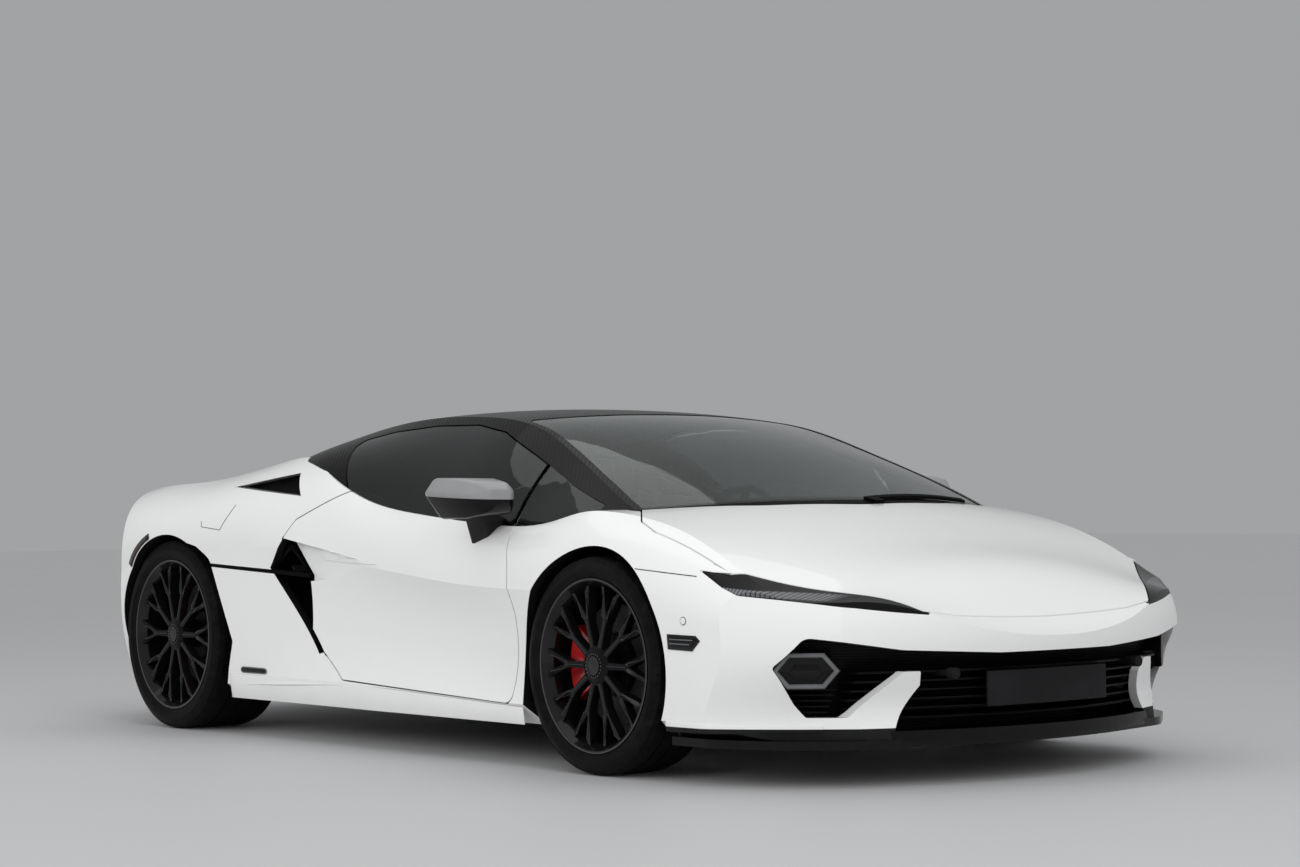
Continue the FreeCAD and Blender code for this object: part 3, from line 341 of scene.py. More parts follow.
def wheel_black(name, end, sign):
    """Gloss black wheel, a thin grey line at its lip, a bare drilled iron disc painted dark as
    painted shade.
    """
    finish = Finish(name, coat_roughness=0.03, specular_ior_level=0.12)
    x, y, z = finish.axes()
    across, up, radius = round_axle(x, z, end)
    flange = RIM_RADII[end]
    out = y * sign - AXLES[end].y
    turn = up.sum("ARCTAN2", up, across)
    disc = radius.band(*DISC_RADII, 0.0004) * out.band(*DISC_FACES, 0.0005)
    line = radius.band(flange - 0.0045, flange - 0.002, 0.0004) * (out > 0.09)
    holes = (turn * 5.73 + radius * 30).off_middle()
    rows = (radius * 62).off_middle()
    drilled = (holes * holes * 4 + rows * rows) ** 0.5
    hole = (1 - drilled.ease(0.10, 0.16)) * disc
    swirl = (radius * 3000).wave() * 0.5 + 0.5
    # painted shade: the disc's iron is kept darker than bare iron, as it lies in shade behind the
    # spokes, and its drilled holes are painted near black
    iron = finish.blend(swirl, (0.045, 0.043, 0.042), (0.085, 0.082, 0.08))
    iron = finish.blend(hole, iron, grey(0.008))
    haze = finish.noise(40, 4)
    paint = finish.blend(haze, (0.0025, 0.0025, 0.003), (0.007, 0.007, 0.0075))
    paint = finish.blend(line, paint, (0.06, 0.06, 0.062))
    finish.tint(disc, paint, iron,
                metallic=disc * 0.85, roughness=0.3 + disc * 0.1 + haze * 0.06,
                coat_weight=radius.ease(flange - 0.032, flange - 0.028) * 0.6)
    finish.bump(disc * swirl, 0.00005)
    return finish.bump(1 - hole, 0.002)


def hub_finish(name, end):
    """Red lacquered caliper, dark cast carrier."""
    finish = Finish(name, coat_roughness=0.08)
    x, _, z = finish.axes()
    across, _, radius = round_axle(x, z, end)
    facing = -across if end == "front" else across
    clamp = (radius.ease(CALIPER_RADIUS, CALIPER_RADIUS + 0.002)
             * facing.ease(CALIPER_REACH, CALIPER_REACH + 0.002))
    cast = finish.noise(180, 4)
    red = finish.blend(cast, (0.42, 0.006, 0.010), (0.50, 0.012, 0.014))
    iron = finish.blend(cast, grey(0.03), (0.075, 0.072, 0.07))
    finish.tint(clamp, iron, red,
                coat_weight=clamp, roughness=0.6 - clamp * 0.3 + cast * 0.1,
                metallic=(1 - clamp) * 0.5)
    return finish.bump(cast, 0.0003)


def hide(name, color, pebble=420):
    """Leather with pebbled grain, soft creases and a faint sheen."""
    finish = Finish(name, specular_ior_level=0.45, sheen_weight=0.15, sheen_roughness=0.4)
    grain = finish.cells(pebble)
    crease = finish.noise(34, 7, 0.65)
    wear = finish.noise(7, 4).ease(0.45, 0.8)
    finish.tint(wear * 0.6 + crease * 0.3, color, toned(color, 1.8, 0.005),
                roughness=0.52 + grain * 0.22 - wear * 0.1)
    finish.bump(crease, 0.0006)
    return finish.bump(grain, 0.0004)


def carpet(name, color):
    """Cut pile carpet for the tubs."""
    finish = Finish(name, specular_ior_level=0.15, sheen_weight=0.3)
    pile = finish.cells(700)
    track = finish.noise(12, 5)
    finish.tint(track, color, toned(color, 1.9, 0.004), roughness=0.92 + pile * 0.06)
    return finish.bump(pile, 0.0012)


def bare_metal(name, color, roughness):
    """Cast or drawn metal, faintly brushed and stained."""
    finish = Finish(name, metallic=1.0)
    stain = finish.noise(30, 5)
    brush = finish.stretched_noise((40, 900, 900), 3)
    finish.tint(stain, color, toned(color, 0.62), roughness=roughness + stain * 0.16 + brush * 0.08)
    return finish.bump(brush, 0.00008)


REFLECTOR_X = (1.80, 2.10)
REFLECTOR_TOP = 0.598


def smoked_lamp():
    """Nearly black lamp cover over a slim ribbed reflector."""
    finish = Finish("smoked_lamp", coat_weight=0.15, coat_roughness=0.01, specular_ior_level=0.12)
    x, _, z = finish.axes()
    drop = REFLECTOR_TOP - (x - REFLECTOR_X[0]) * 0.10 - z
    wedge = drop.band(-0.004, 0.012, 0.002) * x.band(*REFLECTOR_X, 0.02)
    rib = (x * 90 + z * 22).off_middle()
    ribs = rib.ease(0.08, 0.16) * wedge
    glow = finish.blend(ribs, (0.004, 0.004, 0.0045), (0.24, 0.25, 0.26))
    haze = finish.noise(20, 3)
    finish.tint(haze * 0.3, glow, (0.012, 0.012, 0.013),
                metallic=ribs * 0.7, roughness=0.24 - wedge * 0.06)
    return finish.bump(rib * wedge, 0.002)


CAP_JOINT_X = 0.838
CAP_JOINT_Z = 0.866


def mirror_lacquer():
    """Silver-grey cap over a black lower shell, with a thin joint between them."""
    finish = Finish("two_tone_mirror", coat_weight=0.12, coat_roughness=0.03,
                    specular_ior_level=0.15)
    x, _, z = finish.axes()
    joint = z - CAP_JOINT_Z - (CAP_JOINT_X - x) * 0.05
    cap = joint.ease(0.0012, 0.0018)
    cloud = finish.noise(12, 4)
    silver = finish.blend(cloud, (0.30, 0.30, 0.305), (0.38, 0.38, 0.385))
    finish.tint(cap, BLACK, silver,
                metallic=cap * 0.35, roughness=0.2 + cap * 0.1 + cloud * 0.05)
    return finish.bump(1 - joint.band(-0.001, 0.001, 0.0005), 0.001)


def slatted_black():
    """Black intake back: fine level slats, and a finer mesh in the middle."""
    finish = Finish("slatted_black", specular_ior_level=0.12)
    _, y, z = finish.axes()
    middle = 1 - y.size().ease(0.235, 0.239)
    slat = (z * 112).off_middle().ease(0.16, 0.26)
    grid = (y * 160).off_middle().ease(0.2, 0.3) * (z * 160).off_middle().ease(0.2, 0.3)
    relief = middle * grid + (1 - middle) * slat
    haze = finish.noise(16, 4)
    # painted shade: the gaps between the slats and the holes of the mesh are painted darker
    finish.tint(relief * (0.6 + haze * 0.4), grey(0.001), (0.005, 0.005, 0.0055),
                roughness=0.55 - relief * 0.15)
    return finish.bump(relief, 0.003)


def red_lamp():
    """Deep red lamp cover with lit-looking ribs behind it."""
    finish = Finish("red_lamp", coat_weight=0.4, coat_roughness=0.01, specular_ior_level=0.25)
    rib = (finish.axes()[1].size() * 90).off_middle()
    prism = finish.cells(260)
    # painted glow: the ribs and the prism cells are painted brighter red, as if lit
    finish.tint(rib.ease(0.1, 0.4) * 0.7 + prism * 0.3, (0.05, 0.001, 0.002), (0.20, 0.004, 0.005),
                roughness=0.18 + prism * 0.1)
    return finish.bump(rib, 0.0015)


CELLS_PER_METRE = 62


def honeycomb():
    """Black mesh: six-sided holes, painted dark as painted shade in the deep cells."""
    finish = Finish("honeycomb", specular_ior_level=0.4)
    _, y, z = finish.axes()
    across = y * CELLS_PER_METRE
    up = z * CELLS_PER_METRE * 0.577

    def from_cell(shift):
        side = (across + shift).part() - 0.5
        rise = (up + shift).part() - 0.5
        return (side * side + rise * rise * 3) ** 0.5

    web = across.sum("MINIMUM", from_cell(0), from_cell(0.5)).ease(0.40, 0.46)
    # painted shade: the cells are painted darker than the web
    finish.tint(web, grey(0.001), (0.022, 0.022, 0.023), roughness=0.85 - web * 0.45)
    return finish.bump(web, 0.006)


def frost():
    """Frosted red plastic of an unlit lamp guide."""
    finish = Finish("frosted_guide", coat_weight=0.3)
    streak = finish.stretched_noise((240, 240, 20), 3)
    finish.tint(streak, (0.36, 0.012, 0.014), (0.52, 0.030, 0.032), roughness=0.25 + streak * 0.2)
    return finish.bump(streak, 0.0002)


white = body_lacquer("white_lacquer", WHITE, grey(0.74))
black = gloss_black("gloss_black_trim")
satin = grained_plastic("satin_black_plastic", (0.010, 0.010, 0.011))
fine_satin = grained_plastic("fine_black_plastic", (0.008, 0.008, 0.009), 1600)
liner = grained_plastic("pressed_felt_liner", grey(0.003), 300, 0.08)
duct_black = grained_plastic("duct_black", grey(0.002), 900, 0.06)
steel = bare_metal("brushed_steel", (0.42, 0.41, 0.40), 0.24)
iron = bare_metal("cast_iron", grey(0.10), 0.5)
alloy = bare_metal("cast_alloy", (0.45, 0.45, 0.46), 0.42)
dark_hide = hide("black_leather", (0.010, 0.010, 0.011))
pile = carpet("black_carpet", grey(0.008))
roof = woven_roof()
screen_glass = tinted_glass("clear_green_glass", (0.50, 0.57, 0.55))
side_glass = tinted_glass("dark_green_glass", (0.10, 0.12, 0.118), 0.08)
lamp_cover = smoked_lamp()
mirror_shell = mirror_lacquer()
slatted = slatted_black()
ring_grey = gloss_black("lamp_ring_grey", (0.075, 0.077, 0.08), 0.24, 0.7)
red_cover = red_lamp()
mesh_black = honeycomb()
guide = frost()
lens_black = gloss_black("lamp_lens_black", (0.0015, 0.0015, 0.0017), 0.1, 0.15)
splitter_black = gloss_black("splitter_black", (0.001, 0.001, 0.0012), 0.25, 0.12)

NODE_FINISHES = {
    white: "front_wings front_bumper side_sills rear_quarters rear_bumper bonnet "
           "door_left door_right",
    black: "engine_cover",
    duct_black: "side_intakes cowl wiper",
    mirror_shell: "mirror_left mirror_right",
    lens_black: "daylight_lamps",
    splitter_black: "front_splitter",
    slatted: "front_grille",
    roof: "roof_frame",
    satin: "rear_diffuser dashboard undertray",
    liner: "arch_liners",
    pile: "cabin_tub luggage_tub",
    alloy: "engine",
    iron: "subframes",
    steel: "exhaust_tip",
    screen_glass: "windscreen",
    side_glass: "quarter_glass door_glass_left door_glass_right",
    lamp_cover: "headlamps",
    red_cover: "tail_lamps",
    mesh_black: "rear_grille",
    dark_hide: "steering_wheel seats",
}


def paint(piece, finish):
    """Gives every slot of a piece that finish."""
    if not piece.data.materials:
        piece.data.materials.append(finish.material)
    for index in range(len(piece.data.materials)):
        piece.data.materials[index] = finish.material


for finish, names in NODE_FINISHES.items():
    for name in names.split():
        paint(nodes[name], finish)
for end in AXLES:
    for side, sign in SIDES:
        paint(nodes[f"tyre_{end}_{side}"], tyre_rubber(f"tyre_rubber_{end}_{side}", end, sign))
        paint(nodes[f"rim_{end}_{side}"], wheel_black(f"wheel_black_{end}_{side}", end, sign))
for side, sign in SIDES:
    paint(nodes[f"front_hub_{side}"], hub_finish(f"front_brake_{side}", "front"))
paint(nodes["rear_hubs"], hub_finish("rear_brakes", "rear"))

# ---- modelling


# angle in degrees over which an edge stays sharp
SHARP = 35
# doubles nearer than this are merged
DOUBLE = 0.00005
# how far a piece may travel to the panel that it is laid on
LAY_REACH = 0.6
# width of the strips that it is cut into first
LAY_STEP = 0.02


def leave_edit():
    bpy.ops.object.mode_set(mode="OBJECT")


def clear_selection():
    if bpy.context.mode != "OBJECT":
        leave_edit()
    bpy.ops.object.select_all(action="DESELECT")


def only(*pieces):
    """Selects just these pieces, the first one active."""
    clear_selection()
    for piece in pieces:
        piece.select_set(True)
    bpy.context.view_layer.objects.active = pieces[0]


def named(name):
    piece = bpy.context.object
    piece.name = name
    piece.data.name = name
    return piece


def settle(piece):
    """Puts a piece's place, turn and size into its mesh."""
    only(piece)
    bpy.ops.object.transform_apply(location=True, rotation=True, scale=True)
    return piece


def edit(piece, kind="VERT"):
    """Opens a piece with nothing selected."""
    only(piece)
    bpy.ops.object.mode_set(mode="EDIT")
    bpy.ops.mesh.select_mode(type=kind)
    bpy.ops.mesh.select_all(action="DESELECT")


def select_whole():
    bpy.ops.mesh.select_all(action="SELECT")


def edit_whole(piece):
    """Opens a piece with all of it selected."""
    edit(piece)
    select_whole()


def face_out():
    bpy.ops.mesh.normals_make_consistent(inside=False)


def delete(kind):
    bpy.ops.mesh.delete(type=kind)


def extrude(way):
    bpy.ops.mesh.extrude_region_move(TRANSFORM_OT_translate={"value": way})


def inset(*steps):
    """Insets the chosen faces step by step, each a thickness and a depth."""
    for thickness, depth in steps:
        bpy.ops.mesh.inset(thickness=thickness, depth=depth)


def pick(piece, kind, test):
    """Selects the vertices, edges or faces of a piece that pass a test on their middle."""
    edit(piece, kind)
    leave_edit()
    mesh = piece.data
    if kind == "VERT":
        for vertex in mesh.vertices:
            vertex.select = test(vertex.co)
    elif kind == "FACE":
        for face in mesh.polygons:
            face.select = test(face.center, face.normal)
    else:
        for edge in mesh.edges:
            start, end = (mesh.vertices[i].co for i in edge.vertices)
            edge.select = test((start + end) / 2, (end - start).normalized())
    bpy.ops.object.mode_set(mode="EDIT")


def apply_modifier(piece, kind, **settings):
    only(piece)
    modifier = piece.modifiers.new(kind.title(), kind)
    for name, value in settings.items():
        setattr(modifier, name, value)
    bpy.ops.object.modifier_apply(modifier=modifier.name)


def bevelled(piece, width, segments, angle):
    """Rounds the edges that turn by more than an angle in degrees."""
    apply_modifier(piece, "BEVEL", width=width, segments=segments, limit_method="ANGLE",
                   angle_limit=math.radians(angle))


def soften(piece, angle=SHARP):
    only(piece)
    bpy.ops.object.shade_smooth_by_angle(angle=math.radians(angle))


def cylinder(name, sides, radius, depth, middle, turn):
    clear_selection()
    bpy.ops.mesh.primitive_cylinder_add(vertices=sides, radius=radius, depth=depth,
                                        location=middle, rotation=turn)
    return settle(named(name))


def drawn(name, corners):
    """A flat face drawn corner by corner."""
    clear_selection()
    bpy.ops.mesh.primitive_plane_add(size=0.001, location=corners[0])
    piece = settle(named(name))
    edit_whole(piece)
    bpy.ops.mesh.merge(type="CENTER")
    for here, there in zip(corners, corners[1:]):
        step = Vector(there) - Vector(here)
        bpy.ops.mesh.extrude_vertices_move(TRANSFORM_OT_translate={"value": step})
    select_whole()
    bpy.ops.mesh.edge_face_add()
    leave_edit()
    return piece


def sliced(piece, axis, step):
    """Cuts a face into strips across one axis, so that it can follow a curved panel."""
    places = [vertex.co[axis] for vertex in piece.data.vertices]
    low, high = min(places), max(places)
    count = max(1, round((high - low) / step))
    normal = Vector((0, 0, 0))
    normal[axis] = 1
    edit(piece)
    for index in range(1, count):
        at = normal * (low + (high - low) * index / count)
        select_whole()
        bpy.ops.mesh.bisect(plane_co=at, plane_no=normal)
    leave_edit()


def laid_on(piece, panel, lift, axis="y"):
    """Lays a sliced face on a panel, seen along one axis."""
    apply_modifier(piece, "SHRINKWRAP", target=nodes[panel], wrap_method="PROJECT",
                   use_project_x=axis == "x", use_project_y=axis == "y",
                   use_project_z=axis == "z", use_negative_direction=True,
                   use_positive_direction=True, project_limit=LAY_REACH, offset=lift)


def walled(piece, thickness, bevel=0.0):
    """Gives a laid face its wall, and rounds its edge."""
    edit_whole(piece)
    face_out()
    leave_edit()
    apply_modifier(piece, "SOLIDIFY", thickness=thickness, offset=0)
    if bevel:
        bevelled(piece, bevel, 2, 50)
    soften(piece)


def outward(piece):
    """Merges doubles and turns every face outwards."""
    edit_whole(piece)
    bpy.ops.mesh.remove_doubles(threshold=DOUBLE)
    face_out()
    leave_edit()


def fit(piece, body, finish):
    """Finishes a new piece and lets it ride on its body."""
    piece.data.materials.clear()
    piece.data.materials.append(finish.material)
    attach(piece, body)
    return piece


def mirrored_copy(piece, name):
    """The same piece for the other side of the car, with its own mesh."""
    only(piece)
    bpy.ops.object.duplicate(linked=False)
    twin = named(name)
    edit_whole(twin)
    bpy.ops.transform.resize(value=(1, -1, 1), center_override=(0, 0, 0))
    face_out()
    leave_edit()
    return twin


def fit_pair(piece, body, finish):
    """Fits a piece that is named for its side, and its twin on the other side."""
    near, far = ("left", "right") if piece.name.endswith("left") else ("right", "left")
    twin = mirrored_copy(piece, piece.name.replace(near, far))
    fit(piece, body, finish)
    fit(twin, body.replace(near, far), finish)
    return piece, twin


def joined(pieces, name):
    only(*pieces)
    bpy.ops.object.join()
    return named(name)


def block(name, corners, way):
    """A closed block: a drawn face pushed along a way."""
    piece = drawn(name, corners)
    edit_whole(piece)
    extrude(way)
    leave_edit()
    outward(piece)
    return piece


def bar(start, end, width, height, tip, facing):
    """A slim bar with a narrowed top that stands up from a line towards facing."""
    start, end, facing = Vector(start), Vector(end), Vector(facing).normalized()
    along = (end - start).normalized()
    across = facing.cross(along)
    clear_selection()
    bpy.ops.mesh.primitive_cube_add(size=1)
    piece = named("bar")
    turn = Matrix((along, across, facing)).transposed().to_4x4()
    sizes = Matrix.Diagonal(((end - start).length, width, height, 1))
    piece.matrix_world = Matrix.Translation((start + end) / 2 + facing * height / 2) @ turn @ sizes
    settle(piece)
    middle = (start + end) / 2 + facing * height
    pick(piece, "FACE", lambda center, normal: normal.dot(facing) > 0.9)
    squeeze = [1 - (1 - tip) * abs(value) for value in across]
    bpy.ops.transform.resize(value=squeeze, center_override=middle)
    leave_edit()
    return piece


# ---- wheels


SPOKES = 10
STUD_SIDES = 6
CAP_STUDS = 20
LIP_STUDS = 30
# width, height and narrowing of the ridges on a spoke's stem and on its two branches
STEM = (0.013, 0.0055, 0.25)
BRANCH = (0.010, 0.0045, 0.22)


def stud(center, facing, radius, height):
    """A small headed stud with a chamfered crown."""
    piece = cylinder("stud", STUD_SIDES, radius, height, center + facing * height / 2,
                     facing.to_track_quat("Z", "Y").to_euler())
    pick(piece, "FACE", lambda center, normal: normal.dot(facing) > 0.9)
    inset((radius * 0.28, radius * 0.25))
    leave_edit()
    return piece


def ringed(piece, count, axle):
    """Repeats a piece round an axle."""
    edit_whole(piece)
    for _ in range(count - 1):
        bpy.ops.mesh.duplicate()
        bpy.ops.transform.rotate(value=math.tau / count, orient_axis="Y", center_override=axle)
    leave_edit()
    return piece


def wheel_middle(end, sign):
    middle = AXLES[end].copy()
    middle.y *= sign
    return middle


def spoke_crests(end, side, sign):
    """Raised ridges along the branching spokes."""
    axle = wheel_middle(end, sign)
    flange = RIM_RADII[end]
    face = axle.y + sign * (FACES[end] - 0.001)
    out = (0, sign, 0)

    def at(across, up):
        return (axle.x + across, face, axle.z + up)

    fork = flange * 0.56
    tip = flange - 0.028
    spread = flange * 0.145
    bars = [bar(at(0.058, 0), at(fork, 0), *STEM, out)]
    for way in (1, -1):
        bars.append(bar(at(fork - 0.004, 0), at(tip, way * spread), *BRANCH, out))
    crest = joined(bars, f"spoke_crests_{end}_{side}")
    ringed(crest, SPOKES, axle)
    outward(crest)
    soften(crest)
    return crest


def wheel_studs(end, side, sign):
    """Ring of small studs round the cap and along the rim."""
    axle = wheel_middle(end, sign)
    out = Vector((0, sign, 0))
    cap_face = axle.y + sign * (FACES[end] + 0.008)
    lip_face = axle.y + sign * (FACES[end] - 0.008)
    inner = ringed(stud(Vector((axle.x + 0.0375, cap_face, axle.z)), out, 0.0035, 0.003),
                   CAP_STUDS, axle)
    outer = ringed(stud(Vector((axle.x + RIM_RADII[end] - 0.0175, lip_face, axle.z)), out,
                        0.0032, 0.005), LIP_STUDS, axle)
    return joined([inner, outer], f"wheel_studs_{end}_{side}")


def wheel_cap(end, side, sign):
    """Plain domed centre cap with a raised rim."""
    axle = wheel_middle(end, sign)
    out = Vector((0, sign, 0))
    cap = cylinder(f"wheel_cap_{end}_{side}", 48, 0.030, 0.006, axle + out * (FACES[end] + 0.010),
                   (math.pi / 2, 0, 0))
    pick(cap, "FACE", lambda center, normal: normal.dot(out) > 0.9)
    inset((0.003, 0), (0.0015, -0.002), (0.012, 0.0015))
    leave_edit()
    bevelled(cap, 0.0006, 2, 30)
    soften(cap)
    return cap


rim_gloss = gloss_black("wheel_crest_black", (0.008, 0.008, 0.009), 0.12)
stud_steel = bare_metal("dark_stud_steel", (0.20, 0.20, 0.21), 0.28)
for end in AXLES:
    for side, sign in SIDES:
        body, slot_name = f"wheel_{end}_{side}", f"rim_{end}_{side}"
        fit(spoke_crests(end, side, sign), body, rim_gloss)
        fit(wheel_studs(end, side, sign), body, stud_steel)
        fit(wheel_cap(end, side, sign), body, rim_gloss)

# ---- seats


CLOTH_STEPS = 20
SEAT_MIDDLE = 0.400
SHELL_HALF = 0.235
CUSHION_RIBS = (-0.125, 0.125)
QUILTED_HALF = 0.120
QUILT_LINES = 6
QUILT_WIDTH = 0.009
QUILT_DEPTH = 0.005
QUILT_PITCH = 0.085


def stuffed(piece, voxel, pressure, cap):
    """Swells a closed pad like stitched upholstery, each point held near where it began."""
    apply_modifier(piece, "REMESH", mode="VOXEL", voxel_size=voxel)
    only(piece)
    start = [vertex.co.copy() for vertex in piece.data.vertices]
    cloth = piece.modifiers.new("Cloth", "CLOTH")
    cloth.settings.use_pressure = True
    cloth.settings.uniform_pressure_force = pressure
    cloth.settings.effector_weights.gravity = 0
    for step in range(1, CLOTH_STEPS + 1):
        bpy.context.scene.frame_set(step)
    bpy.ops.object.modifier_apply(modifier=cloth.name)
    bpy.context.scene.frame_set(1)
    for vertex, was in zip(piece.data.vertices, start):
        moved = vertex.co - was
        if moved.length > cap:
            vertex.co = was + moved.normalized() * cap
    apply_modifier(piece, "SUBSURF", levels=1, render_levels=1)


def pad_block(name, profile, y_from, y_to, bevel):
    """A closed block from a side profile, its long edges rounded, ready to be stuffed."""
    pad = block(name, [(x, y_from, z) for x, z in profile], (0, y_to - y_from, 0))
    bevelled(pad, bevel, 3, 30)
    return pad


def ribbed(pad, depth, width):
    """Presses two lengthwise channels into a pad."""
    for vertex in pad.data.vertices:
        for edge in CUSHION_RIBS:
            gap = abs(vertex.co.y - SEAT_MIDDLE - edge)
            if gap < width:
                vertex.co -= vertex.normal * depth * (1 - (gap / width) ** 2) ** 2


def quilted(pad, across):
    """Presses sewn lines across a pad's middle, a pitch apart as across measures it."""
    for line in range(QUILT_LINES):
        for vertex in pad.data.vertices:
            inner = abs(vertex.co.y - SEAT_MIDDLE) < QUILTED_HALF
            gap = abs(across(vertex.co) - QUILT_PITCH * line)
            if inner and gap < QUILT_WIDTH:
                vertex.co -= vertex.normal * QUILT_DEPTH * (1 - (gap / QUILT_WIDTH) ** 2)


SEAT_PROFILES = {
    "seat_base": ([(-0.385, 0.222), (0.10, 0.222), (0.150, 0.318), (0.05, 0.335), (-0.285, 0.288),
                   (-0.385, 0.288)], 0.215, 0.024),
    "seat_back": ([(-0.405, 0.315), (-0.305, 0.325), (-0.265, 0.37), (-0.445, 0.885),
                   (-0.525, 0.895)], 0.205, 0.022),
    "seat_head": ([(-0.470, 0.895), (-0.522, 0.895), (-0.565, 1.025), (-0.508, 1.034)], 0.100,
                  0.016),
}
QUILTS = {
    "seat_base": lambda place: place.x + 0.25 * place.z + 0.34,
    "seat_back": lambda place: place.z - 0.44,
}
for name, (profile, half, bevel) in SEAT_PROFILES.items():
    pad = pad_block(f"{name}_left", profile, SEAT_MIDDLE - half, SEAT_MIDDLE + half, bevel)
    stuffed(pad, voxel=0.012, pressure=3.0, cap=0.012)
    if name in QUILTS:
        ribbed(pad, depth=0.008, width=0.012)
        quilted(pad, QUILTS[name])
    soften(pad, 60)
    for piece in fit_pair(pad, "chassis", dark_hide):
        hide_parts("seats")


def seat_shell(side):
    """Thin moulded shell that carries the pads."""
    path = [(0.155, 0.205), (-0.30, 0.192), (-0.395, 0.215), (-0.425, 0.30), (-0.535, 0.90),
            (-0.578, 1.035)]
    shell = drawn(f"seat_shell_{side}", [(x, SEAT_MIDDLE - SHELL_HALF, z) for x, z in path])
    edit_whole(shell)
    delete("ONLY_FACE")
    bpy.ops.mesh.select_mode(type="EDGE")
    leave_edit()
    closing = [(first + last) / 2 for first, last in zip(path[0], path[-1])]
    pick(shell, "EDGE", lambda middle, way: math.dist((middle.x, middle.z), closing) < 0.01)
    delete("EDGE")
    select_whole()
    extrude((0, SHELL_HALF * 2, 0))
    select_whole()
    face_out()
    leave_edit()
    apply_modifier(shell, "SOLIDIFY", thickness=0.010, offset=0)
    bevelled(shell, 0.018, 3, 60)
    apply_modifier(shell, "SUBSURF", levels=2, render_levels=2)
    soften(shell, 60)
    return shell


for piece in fit_pair(seat_shell("left"), "chassis", black):
    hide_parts("seats")

# ---- lamps and small trim


LAMP_HEX = [(103, 0), (56, 54), (-56, 54), (-103, 0), (-56, -54), (56, -54)]
LAMP_AT = Vector((2.052, 0.790, 0.350))
LAMP_YAW = math.radians(40)


def lamp_hexagon(name, scale, depth, height):
    """Six-sided block that faces forward, its face at depth behind the lamp's face."""
    piece = block(name, [(-depth, y * scale / 1000, z * scale / 1000) for y, z in LAMP_HEX],
                  (-height, 0, 0))
    pick(piece, "FACE", lambda center, normal: normal.x > 0.9)
    return piece


def set_in_corner(piece):
    """Turns and moves a lamp piece from the origin to its place in the left corner."""
    leave_edit()
    bevelled(piece, 0.0012, 2, 20)
    piece.rotation_euler = (0, 0, LAMP_YAW)
    piece.location = LAMP_AT
    settle(piece)
    soften(piece)
    return piece


def lamp_lens():
    """Dished black lens with a raised reflector step."""
    lens = lamp_hexagon("daylight_lens_left", 0.79, 0.010, 0.010)
    inset((0.010, -0.004), (0.014, -0.003), (0.007, 0.004))
    return set_in_corner(lens)


def lamp_bezel():
    """Raised ring with chamfered edges round the lens."""
    bezel = lamp_hexagon("daylight_bezel_left", 0.98, -0.001, 0.006)
    inset((0.004, 0.004), (0.007, 0), (0.004, -0.008))
    delete("FACE")
    pick(bezel, "FACE", lambda center, normal: normal.x < -0.9)
    inset((0.012, 0))
    delete("FACE")
    bpy.ops.mesh.select_mode(type="EDGE")
    bpy.ops.mesh.select_non_manifold()
    bpy.ops.mesh.bridge_edge_loops()
    return set_in_corner(bezel)


for piece, finish in ((lamp_lens(), lens_black), (lamp_bezel(), ring_grey)):
    fit_pair(piece, "chassis", finish)


# planes clear of the car, where outlines are drawn before they are laid on it
BESIDE = -1.15
BEHIND = -2.45


def beside(outline):
    """A side outline of (x, z) in millimetres, to the right of the car."""
    return [(x / 1000, BESIDE, z / 1000) for x, z in outline]


def behind(outline):
    """A rear outline of (y, z) in millimetres, behind the car."""
    return [(BEHIND, y / 1000, z / 1000) for y, z in outline]


def laid_patch(name, outline, panel, thickness, lift, bevel):
    """A thin patch with a side outline, laid on the right-hand panel."""
    patch = drawn(name, beside(outline))
    sliced(patch, 0, LAY_STEP)
    sliced(patch, 2, LAY_STEP)
    laid_on(patch, panel, lift)
    walled(patch, thickness, bevel)
    return patch


def strip(path, width):
    """Outline of a narrow strip along a path of (x, z)."""
    ways = [(Vector(b) - Vector(a)).normalized() for a, b in zip(path, path[1:])]
    ways = [ways[0]] + [(a + b).normalized() for a, b in zip(ways, ways[1:])] + [ways[-1]]
    one, two = ([(x - way.y * half, z + way.x * half) for (x, z), way in zip(path, ways)]
                for half in (width / 2, -width / 2))
    return one + two[::-1]


def arc(x, z, radius, turns):
    return [(x + radius * math.cos(turn), z + radius * math.sin(turn)) for turn in turns]


def round_outline(x, z, radius, count=20):
    return arc(x, z, radius, [math.tau * n / count for n in range(count)])


def arch_band(near, far, start, stop, count=9):
    """Outline of a band along the rear wheel arch, from angle start to stop in degrees."""
    middle = AXLES["rear"] * 1000
    turns = [math.radians(start + (stop - start) * n / count) for n in range(count + 1)]
    return arc(middle.x, middle.z, near, turns) + arc(middle.x, middle.z, far, turns)[::-1]


shut_black = grained_plastic("shut_line_black", grey(0.004), 1200)
marker_lens = gloss_black("smoked_marker_lens", (0.016, 0.009, 0.005), 0.1, 0.8)
FRAME_BEVEL = 0.0008
GROOVE = (shut_black, 0.001, 0.0004, 0)
RIB = (ring_grey, 0.0012, 0.0048, 0)
